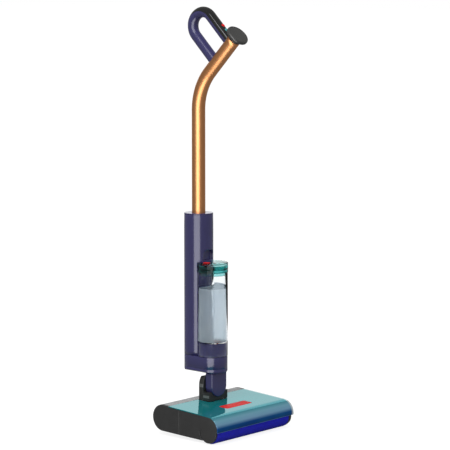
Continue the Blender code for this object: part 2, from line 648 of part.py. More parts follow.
def make_wheels():
    outer, inner = INNER_X - WHEEL_INSET, INNER_X - WHEEL_INSET - WHEEL_WIDTH
    bore, shoulder = WHEEL_AXLE_RADIUS + GAP, WHEEL_RADIUS - 0.001
    for name, side in (("left", -1), ("right", 1)):
        low, high = mirrored(side, inner, outer)
        turned("rear_wheel_" + name, [(bore, high), (shoulder, high), (WHEEL_RADIUS, high - 0.001),
                                      (WHEEL_RADIUS, low + 0.001), (shoulder, low), (bore, low)],
               (0, WHEEL_Y, WHEEL_RADIUS), (1, 0, 0), RUBBER, sides=24)
        low, high = mirrored(side, inner - WHEEL_PLAY - WHEEL_LUG, outer + WHEEL_PLAY + WHEEL_LUG)
        rod("wheel_axle_" + name, WHEEL_AXLE_RADIUS, (low, WHEEL_Y, WHEEL_RADIUS),
            (high, WHEEL_Y, WHEEL_RADIUS),
            STEEL, sides=12)


def make_wiper():
    reach = INNER_X - WHEEL_INSET
    box("wiper_strip", (-reach, PARTITION_Y - 0.0018, WIPER_CLEARANCE),
        (reach, PARTITION_Y - GAP, WIPER_CLEARANCE + WIPER_HEIGHT), RUBBER)


# ---------------------------------------------------------------- yoke and its hinges
def lug_section(radius, low):
    """Round-topped plate standing under the recline axis, in the Y-Z plane."""
    return ([(HINGE_Y - radius, low), (HINGE_Y + radius, low)]
            + arc(HINGE_Y, HINGE_Z, radius, 0, math.pi, 12))


def make_hinge():
    deck = head_line(YOKE_BACK_Y, UNDER_COVER) + GAP
    radius = KNUCKLE_RADIUS - 0.0008
    bracket = box("hinge_bracket", (-LUG_OUT, HINGE_Y - radius, deck),
                  (LUG_OUT, HINGE_Y + radius, YOKE_BOTTOM - 3 * GAP), STEEL)
    lugs = [plate("lug_" + name, lug_section(radius, deck), *mirrored(side, LUG_IN, LUG_OUT), "YZ",
                  role="cutter")
            for name, side in (("left", -1), ("right", 1))]
    join(bracket, *lugs)
    bore = rod("bracket_bore", PIN_RADIUS + GAP, (-0.04, HINGE_Y, HINGE_Z), (0.04, HINGE_Y, HINGE_Z),
               role="cutter",
               sides=20)
    cut(bracket, bore)
    rod("recline_pin", PIN_RADIUS, (-LUG_OUT - 0.008, HINGE_Y, HINGE_Z), (LUG_OUT + 0.008, HINGE_Y, HINGE_Z),
        STEEL, sides=20)


def neck_sweep(grow):
    """Outline, in the X-Z plane, of all the space the swivelling neck passes through."""
    r = NECK_WIDTH / 2 + grow
    rise = 0.05
    reach = (r + rise * math.sin(SWIVEL_MAX)) / math.cos(SWIVEL_MAX)
    foot = arc(0, SWIVEL_Z, r, 2 * math.pi - SWIVEL_MAX, math.pi + SWIVEL_MAX, 16)
    return [(reach, SWIVEL_Z + rise)] + foot + [(-reach, SWIVEL_Z + rise)]


def make_yoke():
    """Cradle for the neck in front, round-shouldered arm behind, hinge knuckle at the lower back."""
    half = YOKE_WIDTH / 2
    arm_front = YOKE_BACK_Y - ARM_DEPTH
    side_view = ([(YOKE_FRONT_Y, YOKE_BOTTOM), (HINGE_Y, YOKE_BOTTOM)]
                 + arc(HINGE_Y, HINGE_Z, KNUCKLE_RADIUS, math.asin(-HINGE_RISE / KNUCKLE_RADIUS), 0, 5)
                 + [(YOKE_BACK_Y, ARM_TOP), (arm_front, ARM_TOP), (arm_front, CRADLE_TOP),
                    (YOKE_FRONT_Y, CRADLE_TOP)])
    yoke = plate("yoke", side_view, -half, half, "YZ", BLACK)
    shoulder_z = ARM_TOP - SHOULDER_DROP
    turn = math.asin(SHOULDER_DROP / ARM_ROUND)
    front_view = ([(-half, YOKE_BOTTOM - 0.01), (half, YOKE_BOTTOM - 0.01)]
                  + arc(0, shoulder_z, ARM_ROUND, 0, turn, 6)
                  + arc(0, shoulder_z, ARM_ROUND, math.pi - turn, math.pi, 6))
    keep(yoke, plate("arm_shoulders", front_view, YOKE_FRONT_Y - 0.01, YOKE_BACK_Y + 0.01, "XZ",
                     role="cutter"))
    scoop = plate("neck_space", neck_sweep(SLIDE_GAP), YOKE_FRONT_Y - 0.01, NECK_BACK_Y + SLIDE_GAP, "XZ",
                  role="cutter")
    room = KNUCKLE_RADIUS + 0.0008
    slots = [side_box("lug_slot_" + name, side, (LUG_IN - 2 * GAP, HINGE_Y - room, YOKE_BOTTOM - 0.01),
                      (LUG_OUT + 2 * GAP, YOKE_BACK_Y + 0.01, HINGE_Z + room), role="cutter")
             for name, side in (("left", -1), ("right", 1))]
    reach = LUG_OUT + 0.0085
    bore = rod("yoke_bore", PIN_RADIUS + GAP, (-reach, HINGE_Y, HINGE_Z), (reach, HINGE_Y, HINGE_Z),
               role="cutter", sides=20)
    swivel = rod("yoke_swivel_bore", SWIVEL_PIN_RADIUS + GAP, (0, NECK_BACK_Y - 0.005, SWIVEL_Z),
                 (0, YOKE_BACK_Y + 0.01, SWIVEL_Z), role="cutter")
    return cut(yoke, scoop, *slots, bore, swivel)


def make_neck():
    """Block with a half-round foot, bored for the swivel pin."""
    half = NECK_WIDTH / 2
    outline = ([(half, HOUSING_BOTTOM - GAP), (-half, HOUSING_BOTTOM - GAP)]
               + arc(0, SWIVEL_Z, half, math.pi, 2 * math.pi, 20))
    neck = bevel(plate("neck", outline, NECK_FRONT_Y, NECK_BACK_Y, "XZ", BLUE), 0.0015, 2, 50)
    pin_front = NECK_FRONT_Y + 0.005
    cut(neck, rod("neck_bore", SWIVEL_PIN_RADIUS + SLIDE_GAP, (0, pin_front, SWIVEL_Z),
                  (0, NECK_BACK_Y + 0.01, SWIVEL_Z), role="cutter"))
    return rod("swivel_pin", SWIVEL_PIN_RADIUS, (0, pin_front + SLIDE_GAP, SWIVEL_Z),
               (0, YOKE_BACK_Y - SLIDE_GAP, SWIVEL_Z), STEEL)


# ---------------------------------------------------------------- body
def stadium(grow, steps=20):
    """Plan of the lower housing: the body's circle behind and the tank's in front, with flat sides."""
    back, front = BODY_RADIUS + grow, TANK_RADIUS - 0.0008 + grow
    tilt = math.asin((front - back) / TANK_OFFSET)
    return (arc(0, BODY_Y, back, -tilt, math.pi + tilt, steps)
            + arc(0, TANK_Y, front, math.pi + tilt, 2 * math.pi - tilt, steps))


def crescent(name, radius, back, low, high, mat=None, role="part", sides=48):
    """Round plug in front of the body, its back hollowed to a radius about the body's axis."""
    piece = rod(name, radius, (0, TANK_Y, low), (0, TANK_Y, high), mat, role, sides)
    hollow = rod(name + "_back", back, (0, BODY_Y, low - 0.01), (0, BODY_Y, high + 0.01), role="cutter",
                 sides=48)
    return cut(piece, hollow)


def side_relief(piece, base):
    """Bevel both lower edges at the swivel's limit, from beside the neck outwards."""
    inner, outer = NECK_WIDTH / 2 + GAP, BODY_RADIUS + 0.01
    rise = (outer - inner) * math.tan(SWIVEL_MAX)
    for name, side in (("left", -1), ("right", 1)):
        wedge = [(side * inner, base), (side * outer, base + rise), (side * outer, base - 0.01),
                 (side * inner, base - 0.01)]
        cut(piece, plate("%s_relief_%s" % (piece.name, name), wedge, TANK_Y - TANK_RADIUS - 0.01,
                         BODY_Y + BODY_RADIUS + 0.01, "XZ", role="cutter"))


def make_housing():
    """Lower housing, bevelled so that it clears the head when it is tilted back and swivelled."""
    housing = plate("lower_housing", stadium(0), HOUSING_BOTTOM, HOUSING_TOP - GAP, "XY", BLUE)
    hollow = plate("housing_hollow", stadium(-SHELL_WALL), HOUSING_BOTTOM + 0.003, HOUSING_TOP + 0.01, "XY",
                   role="cutter")
    side_relief(housing, HOUSING_BOTTOM)
    side_relief(hollow, HOUSING_BOTTOM + 0.003)
    cut(housing, hollow)
    z = HOUSING_BOTTOM + CONTACT_RISE
    rear = BODY_Y + math.sqrt(BODY_RADIUS ** 2 - CONTACT_X ** 2)
    for name, x in (("left", -CONTACT_X), ("right", CONTACT_X)):
        cut(housing, rod("contact_hole_" + name, CONTACT_RADIUS + GAP, (x, rear - 0.008, z),
                         (x, rear + 0.01, z),
                         role="cutter", sides=16))
        rod("charging_contact_" + name, CONTACT_RADIUS, (x, rear - 0.006, z), (x, rear + 0.0002, z), BRASS,
            sides=16)


def scoop_outline(grow):
    """Arch of the finger recess, in the X-Z plane."""
    half, r = SCOOP_WIDTH / 2 + grow, SCOOP_ROUND + grow
    low, high = SCOOP_LOW - grow, SCOOP_LOW + SCOOP_HEIGHT + grow
    return ([(-half, low), (half, low)] + arc(half - r, high - r, r, 0, math.pi / 2, 6)
            + arc(r - half, high - r, r, math.pi / 2, math.pi, 6))


def make_body():
    inner = BODY_RADIUS - SHELL_WALL
    front = BODY_Y - BODY_RADIUS
    origin, up = (0, BODY_Y, 0), (0, 0, 1)
    shell = turned("body_shell", ring_profile(inner, BODY_RADIUS, HOUSING_TOP + GAP, BODY_TOP - BODY_CAP),
                   origin, up, BLUE, sides=64)
    cut(shell, plate("scoop_hole", scoop_outline(0), front - 0.01, front + 0.02, "XZ", role="cutter"))
    bore, edge, plug = WAND_RADIUS + SLIDE_GAP, 0.0008, BODY_TOP - 0.012
    seat = BODY_TOP - BODY_CAP + GAP
    turned("body_cap", [(bore, BODY_TOP), (BODY_RADIUS - edge, BODY_TOP), (BODY_RADIUS, BODY_TOP - edge),
                        (BODY_RADIUS, seat), (inner - GAP, seat), (inner - GAP, plug), (bore, plug)],
           origin, up, BLUE, sides=64)
    cup = plate("finger_recess", scoop_outline(0.002), front - 0.01, front + SCOOP_DEPTH + 0.0015, "XZ",
                BLACK)
    keep(cup, rod("recess_fit", inner - GAP, (0, BODY_Y, SCOOP_LOW - 0.02), (0, BODY_Y, BODY_TOP),
                  role="cutter",
                  sides=64))
    cut(cup, plate("recess_hollow", scoop_outline(0.0002), front - 0.02, front + SCOOP_DEPTH, "XZ",
                   role="cutter"))


def make_works():
    """Pump, board and battery inside the body, from the bottom up."""
    pump_low = HOUSING_TOP + 0.0045
    pump_high = pump_low + PUMP_HEIGHT
    rod("water_pump", PUMP_RADIUS, (0, BODY_Y, pump_low), (0, BODY_Y, pump_high), BLACK)
    battery_high = BODY_TOP - BATTERY_TOP
    battery_low = battery_high - BATTERY_HEIGHT
    box("battery_pack", (-0.022, BODY_Y - 0.016, battery_low), (0.022, BODY_Y + 0.027, battery_high),
        CHARCOAL)
    box("control_board", (-0.020, BODY_Y + 0.004, pump_high + 0.030),
        (0.020, BODY_Y + 0.0056, battery_low - 0.015),
        BOARD)
    low = HOUSING_TOP - HOSE_DROP
    bend = [(0, 0.006), (0.002, 0.002), (0.006, 0)]
    down = [(0, VALVE_Y + along, low + up) for along, up in bend]
    back = [(0, BODY_Y - along, low + up) for along, up in reversed(bend)]
    tube("feed_hose", [(0, VALVE_Y, HOUSING_TOP - 2 * GAP)] + down + back + [(0, BODY_Y,
                                                                              pump_low - SLIDE_GAP)],
         HOSE_RADIUS, RUBBER, resolution=1)


# ---------------------------------------------------------------- clean water tank
def make_tank():
    bottom = HOUSING_TOP + 0.0008
    wall_back = TANK_CLEAR + TANK_WALL
    floor = TANK_FLOOR + TANK_FLOOR_WALL
    inside = TANK_RADIUS - TANK_WALL
    tank = crescent("clean_tank", TANK_RADIUS, TANK_CLEAR, bottom, TANK_TOP, CLEAR)
    cut(tank, crescent("tank_water_space", inside, wall_back, floor, TANK_TOP + 0.01, role="cutter"),
        crescent("tank_skirt_space", inside, wall_back, bottom - 0.01, TANK_FLOOR, role="cutter"),
        rod("tank_valve_hole", VALVE_RADIUS, (0, VALVE_Y, TANK_FLOOR - 0.005),
            (0, VALVE_Y, TANK_FLOOR + 0.01),
            role="cutter", sides=20))
    plinth = crescent("tank_plinth", inside - SLIDE_GAP, wall_back + SLIDE_GAP, HOUSING_TOP,
                      TANK_FLOOR - 0.0007,
                      BLUE)
    cut(plinth, rod("plinth_bore", 0.0100, (0, VALVE_Y, TANK_FLOOR - 0.016), (0, VALVE_Y, TANK_FLOOR + 0.01),
                    role="cutter", sides=20))


def make_valve():
    """Red poppet on the tank's floor, with the coil spring that closes it."""
    floor = TANK_FLOOR + TANK_FLOOR_WALL
    disc, stem, foot = 0.0090, 0.0022, 0.0055
    foot_z = TANK_FLOOR - 0.0090
    turned("tank_valve", [(0, floor + 0.0030), (disc, floor + 0.0030), (disc, floor + GAP),
                          (stem, floor + GAP),
                          (stem, foot_z), (foot, foot_z), (foot, foot_z - 0.0015), (0, foot_z - 0.0015)],
           (0, VALVE_Y, 0), (0, 0, 1), RED, sides=20)
    low, high, turns = foot_z + 0.0010, TANK_FLOOR - 0.0010, 4
    steps = 12 * turns
    coil = []
    for i in range(steps + 1):
        angle = 2 * math.pi * turns * i / steps
        coil.append((SPRING_RADIUS * math.cos(angle), VALVE_Y + SPRING_RADIUS * math.sin(angle),
                     low + (high - low) * i / steps))
    tube("valve_spring", coil, 0.0004, STEEL, resolution=1)


def make_tank_cap():
    inner, back = TANK_RADIUS - TANK_WALL - SLIDE_GAP, TANK_CLEAR + TANK_WALL + SLIDE_GAP
    low, high = TANK_TOP + GAP, TANK_TOP + TANK_CAP_HEIGHT
    plug_low = TANK_TOP - CAP_PLUG
    cap = crescent("tank_cap", TANK_CAP_RADIUS, TANK_CLEAR, low, high, TEAL)
    join(cap, crescent("cap_plug", inner, back, plug_low, low + 0.003, role="cutter"))
    wall = 0.0030
    cut(cap, crescent("cap_hollow", inner - wall, back + wall, plug_low - 0.01, high - 0.0040, role="cutter"),
        rod("cap_button_hole", TANK_BUTTON_RADIUS + SLIDE_GAP, (TANK_BUTTON_X, TANK_BUTTON_Y, high - 0.008),
            (TANK_BUTTON_X, TANK_BUTTON_Y, high + 0.01), role="cutter"),
        rod("cap_vent", 0.0012, (0, TANK_Y - TANK_RADIUS / 2, high - 0.008),
            (0, TANK_Y - TANK_RADIUS / 2, high + 0.01),
            role="cutter", sides=12))
    rod("tank_release_button", TANK_BUTTON_RADIUS, (TANK_BUTTON_X, TANK_BUTTON_Y, high - 0.0045),
        (TANK_BUTTON_X, TANK_BUTTON_Y, high + 0.0006), RED)


# ---------------------------------------------------------------- wand, screen and loop handle
def wand_path():
    bend = [BEND_START + Vector((0, -WAND_BEND_RADIUS * (1 - math.cos(a)), WAND_BEND_RADIUS * math.sin(a)))
            for a in [WAND_BEND * i / 12 for i in range(13)]]
    top = BEND_END + WAND_DIR * (DISC_AT - DISC_THICK / 2 - COLLAR_HEIGHT)
    return [Vector((0, BODY_Y, BODY_TOP - WAND_INSERT))] + bend + [top]


def loop_path(end_gap):
    """Centre line of the loop: out along the lower bar, round the end, back along the upper bar."""
    round_end = [LOOP_CENTRE - WAND_DIR * LOOP_BEND * math.cos(a) + BAR_DIR * LOOP_BEND * math.sin(a)
                 for a in [math.pi * i / 20 for i in range(21)]]
    return [BAR_LOW + BAR_DIR * end_gap] + round_end + [BAR_HIGH + BAR_DIR * end_gap]


def on_loop(along, out):
    """A point of the loop's own plane, as (y, z)."""
    spot = LOOP_CENTRE + BAR_DIR * along + WAND_DIR * out
    return (spot.y, spot.z)


def cover_outline(shift):
    """Region outside a line that rises from the upper bar's middle and leaves the loop on its far side."""
    sweep = math.radians(165)
    inner = [on_loop(-LOOP_LENGTH - 0.02, LOOP_BEND + shift)]
    for i in range(17):
        a = sweep * i / 16
        r = LOOP_BEND + shift + (LOOP_TUBE + 0.002) * (i / 16) ** 2
        inner.append(on_loop(r * math.sin(a), r * math.cos(a)))
    far = 0.075
    outer = [on_loop(far * math.sin(sweep * i / 8), far * math.cos(sweep * i / 8)) for i in range(8, -1, -1)]
    return inner + outer + [on_loop(-LOOP_LENGTH - 0.02, far)]


def make_wand():
    tube("wand", wand_path(), WAND_RADIUS, COPPER, resolution=6, wall=WAND_WALL)
    flange = WAND_RADIUS + 0.0014
    turned("wand_collar", [(0, COLLAR_HEIGHT - GAP), (flange, COLLAR_HEIGHT - GAP), (flange, GAP), (0, GAP)],
           DISC - WAND_DIR * (DISC_THICK / 2 + COLLAR_HEIGHT), WAND_DIR, BLACK, sides=32)


def make_screen():
    """Round-edged disc across the top of the wand, with a thin dark lens let into its face."""
    low, high = -DISC_THICK / 2, DISC_THICK / 2
    seat, centre = high - LENS_THICK, DISC_RADIUS - DISC_ROUND
    edge = (arc(centre, high - DISC_ROUND, DISC_ROUND, math.pi / 2, 0, 4)
            + arc(centre, low + DISC_ROUND, DISC_ROUND, 0, -math.pi / 2, 4))
    turned("screen_housing", [(0, seat), (LENS_RADIUS + GAP, seat),
                              (LENS_RADIUS + GAP, high)] + edge + [(0, low)],
           DISC, WAND_DIR, CHARCOAL, sides=40)
    turned("screen_lens", [(0, high), (LENS_RADIUS, high), (LENS_RADIUS, seat + GAP), (0, seat + GAP)],
           DISC, WAND_DIR, BLACK, sides=40)


def handle_trims(name):
    """Cutters that clear the wand and the screen disc out of the loop."""
    start, end = BEND_END - WAND_DIR * 0.02, DISC - WAND_DIR * (DISC_THICK / 2 + GAP)
    return (rod("wand_trim_" + name, WAND_RADIUS + 0.0017, start, end, role="cutter", sides=40),
            rod("disc_trim_" + name, DISC_RADIUS + 0.0004, end, DISC + WAND_DIR * 0.02, role="cutter",
                sides=40))


def make_handle():
    loop = tube("handle_loop", loop_path(0.006), LOOP_TUBE, BLUE, resolution=5)
    cut(loop, plate("cover_space", cover_outline(0.0010), -0.02, 0.02, "YZ", role="cutter"),
        *handle_trims("loop"))
    cover = tube("handle_top_cover", loop_path(0.006), LOOP_TUBE, BLACK, resolution=5)
    keep(cover, plate("cover_region", cover_outline(0.0010 + GAP), -0.02, 0.02, "YZ", role="cutter"))
    cut(cover, *handle_trims("cover"))
    for name, along, mat in (("power_button", POWER_AT, RED), ("mode_button", MODE_AT, TEAL)):
        face = BAR_HIGH + BAR_DIR * along + WAND_DIR * LOOP_TUBE
        cut(cover, rod(name + "_well", KEY_RADIUS + SLIDE_GAP, face - WAND_DIR * 0.0035,
                       face + WAND_DIR * 0.01,
                       role="cutter", sides=20))
        rod(name, KEY_RADIUS, face - WAND_DIR * 0.0020, face + WAND_DIR * 0.0004, mat, sides=20)


# ---------------------------------------------------------------- build
make_cover()
make_chassis()
for side_name, side_sign in (("left", -1), ("right", 1)):
    make_front_panel("front_panel_" + side_name, side_sign)
    make_rear_panel("rear_panel_" + side_name, side_sign)
make_hood()
make_dirty_tank()
make_debris_tray()
make_rollers()
make_head_button()
make_wheels()
make_wiper()
make_hinge()
make_yoke()
make_neck()
make_housing()
make_body()
make_works()
make_tank()
make_valve()
make_tank_cap()
make_wand()
make_screen()
make_handle()
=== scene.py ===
"""Looks of the upright wet-and-dry floor scrubber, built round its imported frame.

The machine stands on z = 0 with its front towards -Y and its width along X.  Every new piece is a
surface worked out from two parameters, and takes its place from the boxes of the frame's nodes.
"""
import math

import bmesh
import bpy
import numpy as np
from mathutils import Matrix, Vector


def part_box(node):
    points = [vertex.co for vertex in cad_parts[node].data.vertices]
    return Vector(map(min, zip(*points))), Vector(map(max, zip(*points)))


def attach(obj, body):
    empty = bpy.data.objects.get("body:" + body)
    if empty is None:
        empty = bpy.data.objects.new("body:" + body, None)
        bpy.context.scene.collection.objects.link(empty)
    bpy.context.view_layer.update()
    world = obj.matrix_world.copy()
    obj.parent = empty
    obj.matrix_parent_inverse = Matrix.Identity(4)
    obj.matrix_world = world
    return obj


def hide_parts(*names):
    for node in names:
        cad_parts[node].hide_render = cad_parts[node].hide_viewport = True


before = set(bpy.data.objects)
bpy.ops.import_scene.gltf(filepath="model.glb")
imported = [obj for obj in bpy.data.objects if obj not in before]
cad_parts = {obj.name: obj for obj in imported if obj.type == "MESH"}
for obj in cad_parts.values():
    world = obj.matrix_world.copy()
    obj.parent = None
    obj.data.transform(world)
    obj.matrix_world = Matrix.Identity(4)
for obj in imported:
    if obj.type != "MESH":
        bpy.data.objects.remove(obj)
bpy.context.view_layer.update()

UP = np.array([0.0, 0.0, 1.0])
ACROSS = np.array([1.0, 0.0, 0.0])
TURN = 2 * math.pi
WELD = 2e-6                     # points closer than this are one point

# ---------------------------------------------------------------- camera and studio
CAMERA_SPOT = (-4.0077, -3.5730, 1.2320)
CAMERA_YAW = math.radians(-48.37)
CAMERA_PITCH = math.radians(-7.26)
CAMERA_LENS = 165.26            # for a 36 mm wide sensor
STRIP_DISTANCE = 1.0            # tall soft box, from the machine's middle
STRIP_YAW = math.radians(14)    # and its turn to the left of the camera
STRIP_WIDTH = 0.88
STRIP_LOW = -0.70               # its foot and top; the floor gives no reflection of its own
STRIP_HIGH = 2.30
STRIP_POWER = 10.0              # watts for each metre of its height

# ---------------------------------------------------------------- sizes read from the frame
def node_box(node):
    low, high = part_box(node)
    return np.array(low), np.array(high)


cover_low, cover_high = node_box("top_cover")
roller_low, roller_high = node_box("front_roller_sleeve")
roller2_low, roller2_high = node_box("rear_roller_sleeve")
hood_low, hood_high = node_box("rear_hood")
panel_low, panel_high = node_box("front_panel_right")
rear_panel_low, rear_panel_high = node_box("rear_panel_right")
button_low, button_high = node_box("head_release_button")
yoke_low, yoke_high = node_box("yoke")
neck_low, neck_high = node_box("neck")
housing_low, housing_high = node_box("lower_housing")
shell_low, shell_high = node_box("body_shell")
body_cap_low, body_cap_high = node_box("body_cap")
recess_low, recess_high = node_box("finger_recess")
tank_low, tank_high = node_box("clean_tank")
plinth_low, plinth_high = node_box("tank_plinth")
tank_cap_low, tank_cap_high = node_box("tank_cap")
red_disc_low, red_disc_high = node_box("tank_release_button")
valve_low, valve_high = node_box("tank_valve")
wand_low, wand_high = node_box("wand")
lens_low, lens_high = node_box("screen_lens")

SEAM = 0.0003                   # gap that shows between two fitted pieces
HEAD_HALF = cover_high[0]
ROLLER_R = (roller_high[2] - roller_low[2]) / 2
ROLLER_Z = (roller_high[2] + roller_low[2]) / 2
ROLLER_Y = (roller_high[1] + roller_low[1]) / 2
COVER_R = 0.0345                # the cover's round front
COVER_WALL = 0.0022
COVER_LIP_DROP = 0.0050
COVER_Y = cover_low[1] + COVER_R
COVER_Z = cover_low[2] + COVER_LIP_DROP
LOBE_R = ROLLER_R - 0.0032      # round end of the front panel
SLIT_WIDTH = 0.0020
SLIT_TOP = math.radians(10)
HOOD_SEAM_Y = cover_high[1]
HOOD_R = 0.035
HOOD_Y = hood_high[1] - HOOD_R
REAR_CLEARANCE = 0.0120
HOOD_Z = REAR_CLEARANCE + HOOD_R
PANEL_SEAM_Y = rear_panel_low[1]
PANEL_IN, PANEL_OUT = panel_low[0], panel_high[0]
FRONT_CLEARANCE = 0.0079
SPAN_Y, SPAN_Z = HOOD_Y - COVER_Y, HOOD_Z - COVER_Z
SLOPE = math.atan2(SPAN_Z, SPAN_Y) + math.asin((HOOD_R - COVER_R) / math.hypot(SPAN_Y, SPAN_Z))
TOP_ANGLE = math.pi / 2 + SLOPE

BODY_R = shell_high[0]
BODY_Y = (shell_low[1] + shell_high[1]) / 2
TANK_R = tank_high[0]
TANK_Y = tank_low[1] + TANK_R
TANK_GAP_R = BODY_R + 0.0006    # hollow back of the tank, round the body
TANK_WALL = 0.0020
TANK_FLOOR = plinth_high[2] + 0.0007
WATER_TOP = tank_high[2] - 0.042
CAP_R = tank_cap_high[0]
NECK_R = neck_high[0]
SWIVEL_Z = neck_low[2] + NECK_R
SWIVEL_MAX = math.radians(25)
CRADLE_TOP = yoke_low[2] + 0.0225
SHOULDER_DROP = 0.0235
ARM_ROUND = yoke_high[0]

WAND_R = wand_high[0]
WAND_BEND = math.radians(44.4)
WAND_BEND_R = 0.143
WAND_STRAIGHT = 0.272
DISC_AT = 0.135
DISC_THICK = 0.0108
DISC_R = 0.0308
LENS_R = lens_high[0]
COLLAR_HEIGHT = 0.0080
LOOP_LOW = 0.0327
LOOP_PITCH = 0.0727
LOOP_LENGTH = 0.0997
LOOP_TUBE = 0.0144
POWER_AT = 0.0525
MODE_AT = 0.0359
KEY_R = 0.0050
SLOPE_DIR = np.array([0.0, -math.sin(WAND_BEND), math.cos(WAND_BEND)])
BAR_DIR = np.array([0.0, math.cos(WAND_BEND), math.sin(WAND_BEND)])
BODY_TOP = body_cap_high[2]
BEND_START = np.array([0.0, BODY_Y, BODY_TOP + WAND_STRAIGHT])
BEND_END = BEND_START + WAND_BEND_R * np.array([0.0, math.cos(WAND_BEND) - 1, math.sin(WAND_BEND)])
BAR_LOW = BEND_END + LOOP_LOW * SLOPE_DIR
BAR_HIGH = BAR_LOW + LOOP_PITCH * SLOPE_DIR
LOOP_R = LOOP_PITCH / 2
LOOP_CENTRE = (BAR_LOW + BAR_HIGH) / 2 + LOOP_LENGTH * BAR_DIR


# ---------------------------------------------------------------- finishes
class Finish:
    """A Principled material that is put together node by node."""

    def __init__(self, name, roughness=0.4, metallic=0.0, **sockets):
        self.material = bpy.data.materials.new(name)
        self.material.use_nodes = True
        self.tree = self.material.node_tree
        self.shader = self.tree.nodes["Principled BSDF"]
        self.shader.inputs["Roughness"].default_value = roughness
        self.shader.inputs["Metallic"].default_value = metallic
        for socket, value in sockets.items():
            self.shader.inputs[socket.replace("_", " ")].default_value = value
        self.places = self.tree.nodes.new("ShaderNodeTexCoord")

    def node(self, kind, **values):
        made = self.tree.nodes.new(kind)
        for key, value in values.items():
            setattr(made, key, value)
        return made

    def link(self, out, into):
        self.tree.links.new(out, into)

    def noise(self, scale, detail=2.0, stretch=(1, 1, 1), space="Object"):
        """Noise on the piece's own coordinates, stretched by three factors."""
        mapping = self.node("ShaderNodeMapping")
        mapping.inputs["Scale"].default_value = stretch
        self.link(self.places.outputs[space], mapping.inputs["Vector"])
        noise = self.node("ShaderNodeTexNoise")
        noise.inputs["Scale"].default_value = scale
        noise.inputs["Detail"].default_value = detail
        self.link(mapping.outputs["Vector"], noise.inputs["Vector"])
        return noise.outputs["Fac"]

    def ranged(self, value, low, high, start=0.3, stop=0.7):
        spread = self.node("ShaderNodeMapRange")
        for socket, number in (("From Min", start), ("From Max", stop), ("To Min", low), ("To Max", high)):
            spread.inputs[socket].default_value = number
        self.link(value, spread.inputs["Value"])
        return spread.outputs["Result"]

    def mixed(self, factor, first, second):
        """Colour between two, each a triple or another node's output."""
        mix = self.node("ShaderNodeMix", data_type="RGBA")
        self.link(factor, mix.inputs["Factor"])
        for socket, colour in (("A", first), ("B", second)):
            slot = [s for s in mix.inputs if s.name == socket and s.type == "RGBA"][0]
            if isinstance(colour, tuple):
                slot.default_value = (*colour, 1)
            else:
                self.link(colour, slot)
        return [s for s in mix.outputs if s.type == "RGBA"][0]

    def colour(self, source):
        self.link(source, self.shader.inputs["Base Color"])
        return self

    def rough(self, source):
        self.link(source, self.shader.inputs["Roughness"])
        return self

    def bump(self, height, strength, distance):
        bump = self.node("ShaderNodeBump")
        bump.inputs["Strength"].default_value = strength
        bump.inputs["Distance"].default_value = distance
        self.link(height, bump.inputs["Height"])
        self.link(bump.outputs["Normal"], self.shader.inputs["Normal"])
        return self


def moulded(name, colour, roughness, grain=0.05, grain_scale=1400, shift=0.10, **sockets):
    """Injection-moulded plastic: slow drift of tone, uneven sheen and a fine spark-eroded grain."""
    finish = Finish(name, roughness, **sockets)
    darker = tuple(c * (1 - shift) for c in colour)
    lighter = tuple(c * (1 + shift) for c in colour)
    finish.colour(finish.mixed(finish.ranged(finish.noise(22, 3), 0, 1), darker, lighter))
    finish.rough(finish.ranged(finish.noise(60, 3), roughness * 0.88, roughness * 1.12))
    finish.bump(finish.noise(grain_scale, 1), grain, 0.0001)
    return finish.material


def anodised_copper():
    """Satin anodised tube: fine faint streaks along its length on the tube's own map, over a copper dye."""
    finish = Finish("anodised_copper", 0.38, 1.0)
    streaks = finish.noise(10, 3, (1.0, 30.0, 1), "UV")
    drift = finish.noise(9, 2)
    base = finish.mixed(finish.ranged(streaks, 0, 1), (0.66, 0.300, 0.125), (0.69, 0.320, 0.138))
    finish.colour(finish.mixed(finish.ranged(drift, 0, 0.3), base, (0.63, 0.270, 0.105)))
    finish.rough(finish.ranged(streaks, 0.36, 0.40))
    return finish.material


def glossy_shell():
    """Violet-blue gloss shell with a clear lacquer: faint pearl drift and a light orange peel."""
    finish = Finish("violet_gloss_shell", 0.20, Coat_Weight=0.3, Coat_Roughness=0.05)
    finish.colour(finish.mixed(finish.ranged(finish.noise(16, 3), 0, 1), (0.046, 0.043, 0.150),
                               (0.052, 0.048, 0.166)))
    finish.rough(finish.ranged(finish.noise(80, 2), 0.18, 0.22))
    return finish.material


def tinted_clear(name, colour, roughness, deeper, ior=1.47):
    """Clear moulded plastic with its tint a little uneven and a trace of flow marks."""
    finish = Finish(name, roughness, IOR=ior, Transmission_Weight=1.0)
    finish.colour(finish.mixed(finish.ranged(finish.noise(14, 2), 0, 1), colour, deeper))
    finish.rough(finish.ranged(finish.noise(90, 2), roughness * 0.8, roughness * 1.3))
    finish.bump(finish.noise(35, 1), 0.015, 0.0003)
    return finish.material


